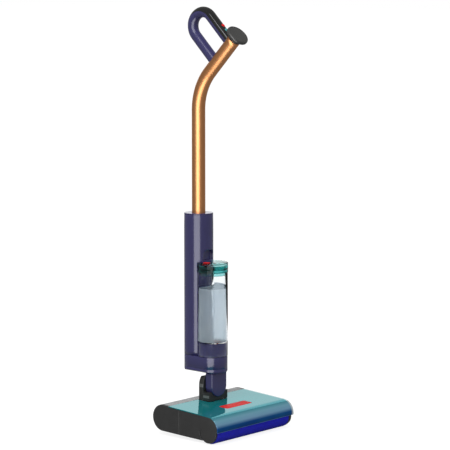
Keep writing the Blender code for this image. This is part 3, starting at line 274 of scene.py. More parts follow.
def cover_teal():
    """Clear cover: teal over the pale deck; round the front roller a pale painted reflection band, then deep blue
    painted in.

    The colour follows the height on the round front: a painted highlight at the lip, the roller's deep blue
    painted as if seen through the cover, a painted reflection band of the strip light, then teal.  The last
    few millimetres of its right end are undyed, painted pale as the light seen through the clear plastic.
    """
    finish = Finish("teal_cover", 0.05, metallic=0.45, IOR=1.25)
    split = finish.node("ShaderNodeSeparateXYZ")
    finish.link(finish.places.outputs["Object"], split.inputs["Vector"])
    ramp = finish.node("ShaderNodeValToRGB")
    finish.link(finish.ranged(split.outputs["Z"], 0, 1, cover_low[2], cover_high[2]), ramp.inputs["Fac"])
    # colour by height: painted lip highlight, roller painted as seen through, painted reflection band of the strip
    # light, then teal
    height_tints_with_painted_light = ((0.0, (0.30, 0.50, 0.70)), (0.03, (0.0, 0.04, 0.24)), (0.24, (0.0, 0.06, 0.32)),
             (0.42, (0.26, 0.48, 0.72)), (0.62, (0.24, 0.50, 0.66)), (0.80, (0.04, 0.30, 0.36)),
             (0.90, (0.010, 0.31, 0.34)))
    while len(ramp.color_ramp.elements) < len(height_tints_with_painted_light):
        ramp.color_ramp.elements.new(0.5)
    for element, (place, colour) in zip(ramp.color_ramp.elements, height_tints_with_painted_light):
        element.position = place
        element.color = (*colour, 1)
    drift = finish.mixed(finish.ranged(finish.noise(12, 2), 0, 0.12), ramp.outputs["Color"], (0.04, 0.50, 0.52))
    # the clear right end, painted pale as the light seen through it
    right = finish.ranged(split.outputs["X"], 0, 1, HEAD_HALF - 0.0085, HEAD_HALF - 0.0035)
    finish.colour(finish.mixed(right, drift, (0.80, 0.88, 0.90)))
    finish.rough(finish.ranged(finish.noise(70, 2), 0.03, 0.07))
    finish.bump(finish.noise(30, 1), 0.010, 0.0003)
    return finish.material


def water():
    """Cleaning water with a little detergent: part clear, part milky blue-white, faintly rippled."""
    finish = Finish("cleaning_water", 0.06, IOR=1.08, Transmission_Weight=0.62)
    finish.colour(finish.mixed(finish.ranged(finish.noise(26, 3), 0, 1), (0.74, 0.83, 0.92),
                               (0.82, 0.90, 0.96)))
    finish.rough(finish.ranged(finish.noise(40, 2), 0.05, 0.12))
    finish.bump(finish.noise(60, 2, (1, 1, 0.3)), 0.10, 0.0006)
    return finish.material


def microfibre():
    """Deep blue pile: tufts in a close pattern, painted shade between them where the colour follows the bump's low
    places, with a velvet sheen.
    """
    finish = Finish("blue_microfibre", 0.9, Sheen_Weight=0.12, Sheen_Roughness=0.4)
    finish.shader.inputs["Sheen Tint"].default_value = (0.25, 0.35, 1.0, 1)
    pile = finish.noise(900, 2)
    rows = finish.noise(160, 2, (0.35, 1, 1))
    # painted shade: the colour darkens with the pile's bump height, in the hollows between the tufts
    base = finish.mixed(finish.ranged(pile, 0, 1), (0.0, 0.001, 0.44), (0.004, 0.010, 1.0))
    finish.colour(finish.mixed(finish.ranged(rows, 0, 0.6), base, (0.0, 0.001, 0.56)))
    finish.rough(finish.ranged(pile, 0.8, 1.0))
    finish.bump(pile, 0.8, 0.0008)
    return finish.material


def metal(name, colour, roughness, scale=700, stretch=(1, 1, 12)):
    """Turned or drawn metal with fine tool lines and a cloudy sheen."""
    finish = Finish(name, roughness, 1.0)
    lines = finish.noise(scale, 2, stretch)
    darker = tuple(c * 0.86 for c in colour)
    finish.colour(finish.mixed(finish.ranged(lines, 0, 1), darker, colour))
    finish.rough(finish.ranged(finish.noise(120, 3), roughness * 0.8, roughness * 1.25))
    finish.bump(lines, 0.05, 0.0001)
    return finish.material


def circuit_board():
    """Green board with lighter copper tracks under its lacquer."""
    finish = Finish("circuit_board", 0.4)
    tracks = finish.node("ShaderNodeTexBrick")
    tracks.inputs["Scale"].default_value = 160
    finish.link(finish.places.outputs["Object"], tracks.inputs["Vector"])
    tracks.inputs["Color1"].default_value = (0.012, 0.09, 0.035, 1)
    tracks.inputs["Color2"].default_value = (0.016, 0.12, 0.045, 1)
    tracks.inputs["Mortar"].default_value = (0.04, 0.20, 0.07, 1)
    finish.colour(tracks.outputs["Color"])
    return finish.material


def banded_black(name, low, high):
    """Satin black yoke plastic with a grey band painted on its outer sides between two heights."""
    finish = Finish(name, 0.42)
    split = finish.node("ShaderNodeSeparateXYZ")
    finish.link(finish.places.outputs["Object"], split.inputs["Vector"])
    band = finish.node("ShaderNodeMath", operation="COMPARE")
    band.inputs[1].default_value = (low + high) / 2
    band.inputs[2].default_value = (high - low) / 2
    finish.link(split.outputs["Z"], band.inputs[0])
    side = finish.node("ShaderNodeMath", operation="ABSOLUTE")
    finish.link(split.outputs["X"], side.inputs[0])
    outer = finish.node("ShaderNodeMath", operation="GREATER_THAN")
    outer.inputs[1].default_value = yoke_high[0] - 0.0006
    finish.link(side.outputs["Value"], outer.inputs[0])
    shown = finish.node("ShaderNodeMath", operation="MULTIPLY")
    finish.link(band.outputs["Value"], shown.inputs[0])
    finish.link(outer.outputs["Value"], shown.inputs[1])
    plain = finish.mixed(finish.ranged(finish.noise(40, 3), 0, 1), (0.022, 0.022, 0.021), (0.030, 0.030, 0.029))
    # grey band painted on the outer sides between two heights
    finish.colour(finish.mixed(shown.outputs["Value"], plain, (0.15, 0.15, 0.145)))
    finish.rough(finish.ranged(finish.noise(90, 3), 0.36, 0.48))
    finish.bump(finish.noise(1500, 1), 0.06, 0.0001)
    return finish.material


VIOLET = glossy_shell()
COPPER = anodised_copper()
TEAL_COVER = cover_teal()
TEAL_CLEAR = tinted_clear("teal_clear", (0.32, 0.68, 0.67), 0.03, (0.27, 0.63, 0.63), 1.25)
CLEAR = tinted_clear("clear_wall", (0.96, 0.98, 0.99), 0.02, (0.94, 0.97, 0.98), 1.16)
WATER = water()
CHARCOAL = moulded("charcoal_panels", (0.035, 0.035, 0.035), 0.42, 0.10, 900)
BLACK = moulded("black_plastic", (0.020, 0.020, 0.019), 0.38, 0.06)
GLOSS_BLACK = moulded("gloss_black", (0.010, 0.010, 0.009), 0.10, 0.01, 300, 0.2, Coat_Weight=0.5, Coat_Roughness=0.03)
GREY = moulded("pale_grey", (0.30, 0.315, 0.32), 0.42, 0.05)
RED = moulded("signal_red", (0.78, 0.022, 0.022), 0.38, 0.03, 600, 0.06, Specular_IOR_Level=0.02)
TEAL_KEY = moulded("teal_key", (0.10, 0.52, 0.54), 0.30, 0.03, 600, 0.06)
DISC_GREY = moulded("disc_grey", (0.060, 0.060, 0.058), 0.30, 0.03, 700, 0.12)
LENS = moulded("smoked_lens", (0.045, 0.045, 0.043), 0.16, 0.006, 200, 0.25, Coat_Weight=0.4)
ARM_BLACK = banded_black("arm_black", yoke_low[2] + 0.0350, yoke_low[2] + 0.0440)
CRADLE_BLACK = banded_black("cradle_black", yoke_low[2] + 0.0075, yoke_low[2] + 0.0145)
PILE = microfibre()
BRISTLE = moulded("bristle", (0.018, 0.018, 0.020), 0.8, 0.9, 1800, 0.4)
RUBBER = moulded("rubber", (0.022, 0.022, 0.022), 0.75, 0.25, 500)
STEEL = metal("turned_steel", (0.56, 0.56, 0.57), 0.28)
BRASS = metal("plated_brass", (0.78, 0.57, 0.26), 0.22)
BOARD = circuit_board()


# ---------------------------------------------------------------- surfaces
def grid_faces(rows, columns, first):
    """Corner numbers of all the squares of a grid of points, as one array."""
    a, b = np.meshgrid(np.arange(rows - 1), np.arange(columns - 1), indexing="ij")
    start = (first + a * columns + b).ravel()
    return np.stack([start, start + 1, start + columns + 1, start + columns], 1)


def piece(name, sheets, finish, body, replaces=(), wall=None, edge=None, sharp=38, capped=False):
    """A piece from sheets of points (rows, columns, 3): joined where they meet, faces outwards.

    A sheet's map holds how far along its columns (U) and rows (V) a corner lies, from 0 to 1.
    wall gives an open sheet its thickness, inwards, and edge rounds the sharp edges.  A capped sheet's
    first and last rows are flat outlines, and each is closed by one face.
    """
    points, faces, maps, first = [], [], [], 0
    for sheet in sheets:
        rows, columns = sheet.shape[:2]
        v, u = np.meshgrid(np.linspace(0, 1, rows), np.linspace(0, 1, columns), indexing="ij")
        points.append(sheet.reshape(-1, 3))
        maps.append(np.stack([u.ravel(), v.ravel()], 1))
        faces.append(grid_faces(rows, columns, first))
        first += rows * columns
    points, faces, maps = np.concatenate(points), np.concatenate(faces), np.concatenate(maps)
    corners, polygons = faces.ravel(), faces.tolist()
    if capped:
        across = np.arange(sheets[0].shape[1] - 1)
        caps = np.stack([across, across + first - sheets[0].shape[1]])
        corners, polygons = np.concatenate([corners, caps.ravel()]), polygons + caps.tolist()
    mesh = bpy.data.meshes.new(name)
    mesh.from_pydata(points.tolist(), [], polygons)
    layer = mesh.uv_layers.new(name="along_and_round")
    layer.data.foreach_set("uv", maps[corners].astype(np.float32).ravel())
    bm = bmesh.new()
    bm.from_mesh(mesh)
    bmesh.ops.remove_doubles(bm, verts=bm.verts, dist=WELD)
    bmesh.ops.dissolve_degenerate(bm, edges=bm.edges, dist=WELD)
    bmesh.ops.recalc_face_normals(bm, faces=bm.faces)
    bm.to_mesh(mesh)
    bm.free()
    mesh.shade_smooth()
    mesh.set_sharp_from_angle(angle=math.radians(sharp))
    made = bpy.data.objects.new(name, mesh)
    bpy.context.scene.collection.objects.link(made)
    mesh.materials.append(finish)
    if wall:
        shell = made.modifiers.new("wall", "SOLIDIFY")
        shell.thickness = wall
        shell.offset = -1
        shell.use_even_offset = True
    if edge:
        round_edge = made.modifiers.new("edge", "BEVEL")
        round_edge.width = edge
        round_edge.segments = 3
        round_edge.limit_method = "ANGLE"
        round_edge.angle_limit = math.radians(sharp)
        round_edge.harden_normals = True
    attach(made, body)
    if replaces:
        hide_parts(*replaces)
    return made


def ruled(first, second, rows=2):
    """Sheet of straight lines from one curve to another: point = first + s (second - first)."""
    s = np.linspace(0, 1, rows)[:, None, None]
    return first[None] + s * (second - first)[None]


def eased(corners, radius, steps=6, closed=False):
    """A polyline whose corners are rounded: each corner is a parabola between its two cut-back points."""
    corners = np.array(corners, float)
    count = len(corners)
    result = []
    for i in range(count):
        here = corners[i]
        if not closed and i in (0, count - 1):
            result.append(here[None])
            continue
        before, after = corners[i - 1] - here, corners[(i + 1) % count] - here
        wide = radius[i] if hasattr(radius, "__len__") else radius
        reach = min(wide, np.linalg.norm(before) / 2, np.linalg.norm(after) / 2)
        if reach <= 0:
            result.append(here[None])
            continue
        start = here + before / np.linalg.norm(before) * reach
        stop = here + after / np.linalg.norm(after) * reach
        t = np.linspace(0, 1, steps + 1)[:, None]
        result.append((1 - t) ** 2 * start + 2 * t * (1 - t) * here + t ** 2 * stop)
    return np.concatenate(result)


def turned(profile, origin, axis, steps=96):
    """Sheet of a profile (radius, height) swept round an axis.

    Point = origin + height x axis + radius x (cos a x side + sin a x other side).
    """
    profile = np.array(profile, float)
    axis = np.array(axis, float)
    side = np.cross(axis, UP if abs(axis[2]) < 0.8 else ACROSS)
    side /= np.linalg.norm(side)
    other = np.cross(axis, side)
    a = np.linspace(0, TURN, steps + 1)
    ring = np.cos(a)[:, None] * side + np.sin(a)[:, None] * other
    return (np.array(origin) + profile[:, 1][:, None, None] * axis
            + profile[:, 0][:, None, None] * ring[None])


def prism(outline, low, high, plane):
    """Side wall of a block: its outline at two heights, to be closed by flat caps."""
    closed = np.concatenate([outline, outline[:1]])
    return [np.stack([lift(closed, low, plane), lift(closed, high, plane)])]


def lift(flat, height, plane):
    """Flat points into space, at a height along the plane's normal."""
    height = np.broadcast_to(height, flat.shape[:-1])
    order = {"XY": (flat[..., 0], flat[..., 1], height), "YZ": (height, flat[..., 0], flat[..., 1]),
             "XZ": (flat[..., 0], height, flat[..., 1])}[plane]
    return np.stack(order, -1)


def arc(centre, radius, start, stop, steps):
    """Points of an arc between two angles."""
    a = np.linspace(start, stop, steps + 1)
    return np.array(centre) + radius * np.stack([np.cos(a), np.sin(a)], 1)


def paced(low, high, steps):
    """Numbers between two, closer together near both ends: low + (high - low)(1 - cos)/2."""
    return low + (high - low) * (1 - np.cos(np.linspace(0, math.pi, steps + 1))) / 2


def window(half_x, half_y, frame_x, frame_y, radii, steps, rows=4):
    """Ring sheet between a rounded opening and the rectangle round it, both about the origin.

    The opening is cut into four sides at the middles of its corner arcs; each side is read off at the
    same paced shares as the rectangle's side, and rows of points run straight between the two.
    """
    signs = ((-1, -1), (1, -1), (1, 1), (-1, 1))
    quarter = []
    for (sx, sy), r, turn in zip(signs, radii, (math.pi, 1.5 * math.pi, 0, math.pi / 2)):
        quarter.append(arc((sx * (half_x - r), sy * (half_y - r)), r, turn, turn + math.pi / 2, 16))
    opening, outer = [], []
    for i, ((sx, sy), count) in enumerate(zip(signs, (steps[0], steps[1], steps[0], steps[1]))):
        line = np.concatenate([quarter[i][8:], quarter[(i + 1) % 4][:9]])
        length = np.concatenate([[0], np.cumsum(np.linalg.norm(np.diff(line, axis=0), axis=1))])
        share = paced(0, 1, count)[:, None]
        at = share[:, 0] * length[-1]
        opening.append(np.stack([np.interp(at, length, line[:, k]) for k in (0, 1)], 1)[:-1])
        here = np.array([sx * frame_x, sy * frame_y])
        there = np.array([signs[(i + 1) % 4][0] * frame_x, signs[(i + 1) % 4][1] * frame_y])
        outer.append((here + share * (there - here))[:-1])
    opening, outer = np.concatenate(opening), np.concatenate(outer)
    opening, outer = np.concatenate([opening, opening[:1]]), np.concatenate([outer, outer[:1]])
    return ruled(opening, outer, rows)


def rectangle(xs, ys):
    """Flat sheet over two lists of places."""
    y, x = np.meshgrid(ys, xs, indexing="ij")
    return np.stack([x, y], -1)


# ---------------------------------------------------------------- floor head
def head_line(y, inset=0.0):
    """Height of the head's flat top above a place y, less an inset square to it."""
    touch_y = COVER_Y + (COVER_R - inset) * math.cos(TOP_ANGLE)
    touch_z = COVER_Z + (COVER_R - inset) * math.sin(TOP_ANGLE)
    return touch_z + (y - touch_y) * math.tan(SLOPE)


def make_top_cover():
    """Teal sheet: flat from the hood's seam to the bend, then round the front roller to its lip.

    The flat part is laid out in (x, y) with the yoke's notch and the button's opening left out.
    """
    notch_x, notch_y = yoke_high[0] + 2 * SEAM, yoke_low[1] - 3 * SEAM
    middle_y = (button_low[1] + button_high[1]) / 2
    half_x, half_y = button_high[0] + 0.0005, (button_high[1] - button_low[1]) / 2 + 0.0005
    frame_x, frame_y = half_x + 0.006, half_y + 0.006
    steps_x, steps_y = 36, 14
    inside = paced(-frame_x, frame_x, steps_x)
    left = np.linspace(-HEAD_HALF, -frame_x, 9)
    right = -left[::-1]
    cut = np.searchsorted(inside, notch_x)
    inside[cut], inside[steps_x - cut] = notch_x, -notch_x
    across = np.concatenate([left, inside[1:-1], right])
    rear = np.linspace(notch_y, HOOD_SEAM_Y, 8)
    mid = np.linspace(middle_y + frame_y, notch_y, 8)
    side = paced(middle_y - frame_y, middle_y + frame_y, steps_y)
    bend_y = COVER_Y + COVER_R * math.cos(TOP_ANGLE)
    fore = np.linspace(bend_y, middle_y - frame_y, 3)
    hole = window(half_x, half_y, frame_x, frame_y, (0.0055,) * 4, (steps_x, steps_y))
    edge = hole[-1, :, 0]
    nearest = np.abs(edge[:, None] - inside[None]).argmin(1)
    hole[-1, :, 0] = np.where(np.abs(edge) < frame_x - WELD, inside[nearest], edge)
    flats = [rectangle(across[across <= -notch_x + WELD], rear), rectangle(across[across >= notch_x - WELD], rear),
             rectangle(across, mid), rectangle(left, side), rectangle(right, side),
             hole + np.array([0, middle_y]), rectangle(across, fore)]
    sheets = [np.concatenate([f, head_line(f[..., 1:])], -1) for f in flats]
    lip = math.pi + math.asin(COVER_LIP_DROP / COVER_R)
    bend = arc((COVER_Y, COVER_Z), COVER_R, TOP_ANGLE, lip, 36)
    sheets.append(np.stack([lift(bend, x, "YZ") for x in across], 1))
    return piece("top_cover_sheet", sheets, TEAL_COVER, "head", ["top_cover"], wall=COVER_WALL, edge=0.0004)


def head_button():
    """Rounded red key, domed a little towards its middle."""
    half_x, half_y = button_high[0], (button_high[1] - button_low[1]) / 2
    ring = window(half_x, half_y, half_x, half_y, (0.005,) * 4, (36, 14))[0]
    middle_y = (button_low[1] + button_high[1]) / 2
    rows = []
    for share, drop in ((1.0, 0.0025), (1.0, 0.0006), (0.985, 0.0002), (0.96, 0.0), (0.6, -0.00005), (0.0, -0.0001)):
        shrunk = ring * np.array([1 - (1 - share) * 0.3, share]) if share else ring * np.array([0.7, 0.0])
        y = shrunk[:, 1] + middle_y
        rows.append(np.stack([shrunk[:, 0], y, head_line(y) + 0.0002 - drop], 1))
    return piece("head_release_key", [np.array(rows)], RED, "head_button", ["head_release_button"])


def make_hood():
    """Grey shell from the seam over the top and round the back of the head."""
    low = math.radians(-58)
    start = np.array([[HOOD_SEAM_Y + SEAM, head_line(HOOD_SEAM_Y + SEAM)]])
    line = np.concatenate([start, arc((HOOD_Y, HOOD_Z), HOOD_R, TOP_ANGLE, low, 48)])
    xs = np.linspace(hood_low[0], hood_high[0], 61)
    sheet = np.stack([lift(line, x, "YZ") for x in xs], 1)
    return piece("rear_hood_shell", [sheet], GREY, "head", ["rear_hood"], wall=0.0022, edge=0.0004)


def underside(y):
    """Height of the end panels' lower edge: a straight line that falls from the back to the front."""
    front = ROLLER_Y + ROLLER_R
    return REAR_CLEARANCE + (FRONT_CLEARANCE - REAR_CLEARANCE) * (HOOD_Y - y) / (HOOD_Y - front)


def front_panel_outline():
    """Front end panel: flat top, round to the lip, round lobe, thin slit, then along the lower edge."""
    under = COVER_WALL + SEAM
    seam_y = PANEL_SEAM_Y - SEAM
    start = np.array([[seam_y, head_line(seam_y, under)]])
    lip = math.pi + math.asin(COVER_LIP_DROP / COVER_R)
    top = arc((COVER_Y, COVER_Z), COVER_R - under, TOP_ANGLE, lip, 28)
    centre = (ROLLER_Y, ROLLER_Z)
    first = math.pi - math.asin((COVER_Z - COVER_LIP_DROP - ROLLER_Z) / LOBE_R)
    foot = -math.asin((ROLLER_Z - FRONT_CLEARANCE) / (LOBE_R + SLIT_WIDTH))
    lobe = arc(centre, LOBE_R, first, TURN + SLIT_TOP, 60)
    slit = arc(centre, LOBE_R + SLIT_WIDTH, TURN + SLIT_TOP, TURN + foot, 16)
    return np.concatenate([start, top, lobe, slit, [[seam_y, underside(seam_y)]]])


def rear_panel_outline():
    """Rear end panel: from the seam along the lower edge, round the back and up to the hood's seam."""
    under = COVER_WALL + SEAM
    step = HOOD_SEAM_Y + SEAM
    start = np.array([[PANEL_SEAM_Y, head_line(PANEL_SEAM_Y, under)], [PANEL_SEAM_Y, underside(PANEL_SEAM_Y)]])
    back = arc((HOOD_Y, HOOD_Z), HOOD_R, -math.pi / 2, TOP_ANGLE, 48)
    stop = np.array([[step, head_line(step)], [step, head_line(step, under)]])
    return np.concatenate([start, back, stop])


def make_end_panels():
    """The left rear panel is the front of the dirty water tank's drawer; the others are fixed."""
    for name, side, rear_body in (("left", -1, "dirty_tank"), ("right", 1, "head")):
        low, high = sorted((side * PANEL_IN, side * PANEL_OUT))
        for part, outline, body in (("front_panel_", front_panel_outline(), "head"),
                                    ("rear_panel_", rear_panel_outline(), rear_body)):
            piece(part + name + "_moulding", prism(outline, low, high, "YZ"), CHARCOAL, body, [part + name],
                  edge=0.0010, sharp=30, capped=True)


def make_roller(name, low, high, body):
    """Microfibre sleeve: radius = R - depth x (wave round the pile), with soft rounded ends."""
    centre_y, centre_z = (low[1] + high[1]) / 2, (low[2] + high[2]) / 2
    radius = (high[2] - low[2]) / 2
    x = np.linspace(low[0], high[0], 420)
    a = np.linspace(0, TURN, 181)
    grid_x, grid_a = np.meshgrid(x, a, indexing="ij")
    spiral = np.sin(grid_a * 30 + grid_x * 900) * np.sin(grid_a * 22 - grid_x * 1300)
    end = np.clip(np.minimum(grid_x - low[0], high[0] - grid_x) / 0.003, 0, 1)
    r = radius - 0.0003 + 0.0003 * spiral * end - 0.0012 * (1 - end) ** 2
    outer = np.stack([grid_x, centre_y + r * np.cos(grid_a), centre_z + r * np.sin(grid_a)], -1)
    inner_r = radius - 0.0050
    rim = []
    for row, place in ((outer[0], low[0]), (outer[-1], high[0])):
        inner = np.stack([np.full_like(a, place), centre_y + inner_r * np.cos(a), centre_z + inner_r * np.sin(a)], -1)
        rim.append((row, inner))
    sheets = [np.concatenate([rim[0][1][None], outer, rim[1][1][None]]), ruled(rim[0][1], rim[1][1], 3)]
    return piece(name + "_pile", sheets, PILE, body, [name + "_sleeve"], sharp=60)


# ---------------------------------------------------------------- yoke and neck
def make_yoke():
    """Two blocks: the cradle, hollowed to the neck's sweep, and the round-shouldered arm behind it."""
    half = yoke_high[0]
    back_of_neck = neck_high[1] + 0.0005
    sweep = NECK_R + 0.0005
    x = paced(-half, half, 64)
    hollow = SWIVEL_Z - np.sqrt(np.clip(sweep ** 2 - x ** 2, 0, None))
    upper = np.where(np.abs(x) < sweep, np.minimum(hollow, CRADLE_TOP), CRADLE_TOP)
    lower = np.full_like(x, yoke_low[2])
    top, bottom = np.stack([x, upper], 1), np.stack([x, lower], 1)
    face = ruled(bottom, top, 6)
    loop = np.concatenate([bottom, top[::-1], bottom[:1]])
    join_y = back_of_neck + SEAM
    sheets = [lift(face, yoke_low[1], "XZ"), lift(face, join_y, "XZ"),
              np.stack([lift(loop, yoke_low[1], "XZ"), lift(loop, join_y, "XZ")])]
    cradle = piece("yoke_cradle", sheets, CRADLE_BLACK, "yoke", ["yoke"], edge=0.0010, sharp=30)
    shoulder_z = yoke_high[2] - SHOULDER_DROP
    turn = math.asin(SHOULDER_DROP / ARM_ROUND)
    outline = np.concatenate([[[-half, yoke_low[2]], [half, yoke_low[2]]],
                              arc((0, shoulder_z), ARM_ROUND, 0, turn, 14),
                              arc((0, shoulder_z), ARM_ROUND, math.pi - turn, math.pi, 14)])
    arm = piece("yoke_arm", prism(outline, join_y, yoke_high[1], "XZ"), ARM_BLACK, "yoke", edge=0.0010, sharp=30,
                capped=True)
    return cradle, arm


def make_neck():
    """Neck block with a half-round foot; its front edges have a wide rounding."""
    outline = np.concatenate([[[NECK_R, neck_high[2]], [-NECK_R, neck_high[2]]],
                              arc((0, SWIVEL_Z), NECK_R, math.pi, TURN, 48)])
    return piece("neck_block", prism(outline, neck_low[1], neck_high[1], "XZ"), VIOLET, "upright", ["neck"],
                 edge=0.0030, sharp=40, capped=True)


# ---------------------------------------------------------------- body
def stadium(inset, steps=64):
    """Plan of the lower housing: the body's circle behind, the tank's in front, tangents between."""
    back, front = BODY_R - inset, TANK_Y - housing_low[1] - inset
    tilt = math.asin((front - back) / (BODY_Y - TANK_Y))
    return np.concatenate([arc((0, BODY_Y), back, -tilt, math.pi + tilt, steps),
                           arc((0, TANK_Y), front, math.pi + tilt, TURN - tilt, steps)])


def make_housing():
    """Rows of the housing's plan, drawn in at the bottom edge, a hair groove and the top edge.

    Outside the flat beside the neck the underside rises: z = low + (|x| - flat) x tan(swivel limit).
    """
    low, high = housing_low[2], housing_high[2]
    groove = low + 0.0105
    flat, rise = NECK_R + SEAM, math.tan(SWIVEL_MAX)
    rows = []
    for inset, z in ((0.0045, low), (0.0022, low + 0.0003), (0.0008, low + 0.0011), (0.0, low + 0.0030),
                     (0.0, groove - 0.0003), (0.0003, groove), (0.0, groove + 0.0003), (0.0, high - 0.0008),
                     (0.0003, high - 0.0003), (0.0010, high)):
        plan = stadium(inset)
        plan = np.concatenate([plan, plan[:1]])
        row = lift(plan, z, "XY")
        row[:, 2] = np.maximum(row[:, 2], low + np.clip(np.abs(row[:, 0]) - flat, 0, None) * rise)
        rows.append(row)
    foot = rows[0].copy()
    foot[:, 0] = np.clip(foot[:, 0], -flat, flat)
    foot[:, 2] = low
    rows.insert(0, foot)
    middle = np.array([[0, (BODY_Y + TANK_Y) / 2]])
    bottom = lift(np.repeat(middle, len(rows[0]), 0), low, "XY")
    top = lift(np.repeat(middle, len(rows[0]), 0), high, "XY")
    return piece("lower_housing_shell", [np.array([bottom, *rows, top])], VIOLET, "upright", ["lower_housing"], sharp=50)


def round_body(flat, depth=0.0):
    """Flat (x along the girth, z) onto the body's cylinder, angle nought facing the front."""
    a = flat[..., 0] / BODY_R
    r = BODY_R - depth
    return np.stack([r * np.sin(a), BODY_Y - r * np.cos(a), flat[..., 1]], -1)


def make_body_shell():
    """Cylinder laid out in (girth, z), with the finger recess's arch left out of its front."""
    low, high = shell_low[2], shell_high[2]
    half = (recess_high[0] - recess_low[0]) / 2 - 0.0020
    girth_half = BODY_R * math.asin(half / BODY_R)
    bottom, top = recess_low[2] + 0.0020, recess_high[2] - 0.0020
    middle, half_z = (bottom + top) / 2, (top - bottom) / 2
    frame_x, frame_z = girth_half + 0.005, half_z + 0.005
    steps = (26, 22)
    ring = window(girth_half, half_z, frame_x, frame_z, (0.0012, 0.0012, 0.0150, 0.0150), steps, 5)
    ring = ring + np.array([0, middle])
    inside = paced(-frame_x, frame_x, steps[0])
    around = np.concatenate([inside, np.linspace(frame_x, TURN * BODY_R - frame_x, 76)[1:]])
    beside = paced(middle - frame_z, middle + frame_z, steps[1])
    flats = [rectangle(around, np.linspace(low, middle - frame_z, 24)), ring,
             rectangle(around[steps[0]:], beside),
             rectangle(around, np.linspace(middle + frame_z, high - 0.0006, 10))]
    sheets = [round_body(f) for f in flats]
    rim = np.stack([around, np.full_like(around, high - 0.0006)], 1)
    sheets.append(np.stack([round_body(rim), round_body(rim + [0, 0.0004], 0.0001), round_body(rim + [0, 0.0006], 0.0005)]))
    shell = piece("body_tube", sheets, VIOLET, "upright", ["body_shell"], wall=0.0025)
    arch = ring[0]
    mouth = round_body(arch)
    floor_y = BODY_Y - BODY_R + 0.0145
    rows = []
    for share, inset in ((0.02, 0.0003), (0.3, 0.0005), (0.8, 0.0010), (0.94, 0.0020), (1.0, 0.0042)):
        shrink = 1 - inset / half
        x, z = mouth[:, 0] * shrink, middle + (arch[:, 1] - middle) * shrink
        rows.append(np.stack([x, mouth[:, 1] + share * (floor_y - mouth[:, 1]), z], 1))
    centre = np.repeat([[0, floor_y + 0.0004, middle]], len(arch), 0)
    piece("finger_recess_cup", [np.array([*rows, centre])], VIOLET, "upright", ["finger_recess"], wall=0.0013)
    return shell


def make_body_cap():
    """Lid of the body: flat top, eased rim and a small well round the wand."""
    r, high, low = BODY_R, body_cap_high[2], shell_high[2] + SEAM
    profile = eased([(WAND_R + 0.0006, low), (WAND_R + 0.0006, high - 0.0002), (WAND_R + 0.0026, high),
                     (r, high), (r, low), (WAND_R + 0.0006, low)], 0.0009)
    return piece("body_lid", [turned(profile, (0, BODY_Y, 0), UP, 128)], VIOLET, "upright", ["body_cap"])


# ---------------------------------------------------------------- clean water tank
def crescent(outer, hollow, steps=56):
    """Closed plan of a circle about the tank's axis less a circle about the body's axis, and its spine.

    Where the circles cross: cos = (R1^2 + D^2 - R2^2) / 2 R1 D, seen from each centre.
    """
    span = BODY_Y - TANK_Y
    front = math.acos((outer ** 2 + span ** 2 - hollow ** 2) / (2 * outer * span))
    back = math.acos((hollow ** 2 + span ** 2 - outer ** 2) / (2 * hollow * span))
    near = arc((0, TANK_Y), outer, math.pi / 2 + front, 2.5 * math.pi - front, steps)
    far = arc((0, BODY_Y), hollow, -math.pi / 2 + back, -math.pi / 2 - back, steps // 2)
    plan = np.concatenate([near, far[1:]])
    share = np.linspace(0, 1, len(near))
    across = np.stack([near[:, 0] * 0.8, np.interp(share, np.linspace(0, 1, len(far)), far[::-1][:, 1])], 1)
    middle = near * 0.25 + across * 0.75
    back_share = np.linspace(1, 0, len(far))[1:]
    spine = np.concatenate([middle, np.stack([np.interp(back_share, share, middle[:, k]) for k in (0, 1)], 1)])
    return plan, spine


def crescent_rows(levels, start=None, stop=None):
    """Sheet through crescents at levels (inset, z); start and stop close it at a spine's height."""
    rows = []
    for inset, z in levels:
        plan, spine = crescent(TANK_R - inset, TANK_GAP_R + inset)
        rows.append(lift(plan, z, "XY"))
    first, last = levels[0], levels[-1]
    if start is not None:
        rows.insert(0, lift(crescent(TANK_R - first[0], TANK_GAP_R + first[0])[1], start, "XY"))
    if stop is not None:
        rows.append(lift(crescent(TANK_R - last[0], TANK_GAP_R + last[0])[1], stop, "XY"))
    return np.array(rows)


def make_tank():
    """Thin clear wall with a floor a little above its skirt; one closed skin, outside and inside."""
    low, high, wall, floor = tank_low[2], tank_high[2], TANK_WALL, TANK_FLOOR
    levels = [(wall, floor), (wall, low), (wall - 0.0004, low - 0.0), (0.0005, low), (0.0, low + 0.0006),
              (0.0, high - 0.0006), (0.0004, high), (wall - 0.0003, high), (wall, high - 0.0004),
              (wall, floor + 0.0045), (wall + 0.0006, floor + 0.0031), (wall + 0.0022, floor + 0.0025)]
    piece("clean_tank_wall", [crescent_rows(levels, floor, floor + 0.0025)], CLEAR, "clean_tank", ["clean_tank"],
          sharp=50)
    inset = wall + 0.0002
    bottom = floor + 0.0027
    water_levels = [(inset + 0.0022, bottom), (inset + 0.0006, bottom + 0.0006), (inset, bottom + 0.002),
                    (inset, WATER_TOP), (inset + 0.0010, WATER_TOP - 0.0007), (inset + 0.003, WATER_TOP - 0.0010)]
    piece("clean_water", [crescent_rows(water_levels, bottom, WATER_TOP - 0.0010)], WATER, "clean_tank", sharp=50)


def make_plinth():
    """Blue plinth that the tank's skirt drops over."""
    low, high = plinth_low[2], plinth_high[2]
    inset = TANK_R - plinth_high[0]
    levels = [(inset, low), (inset, high - 0.0012), (inset + 0.0004, high - 0.0004), (inset + 0.0014, high)]
    return piece("tank_plinth_block", [crescent_rows(levels, low, high)], VIOLET, "upright", ["tank_plinth"], sharp=50)


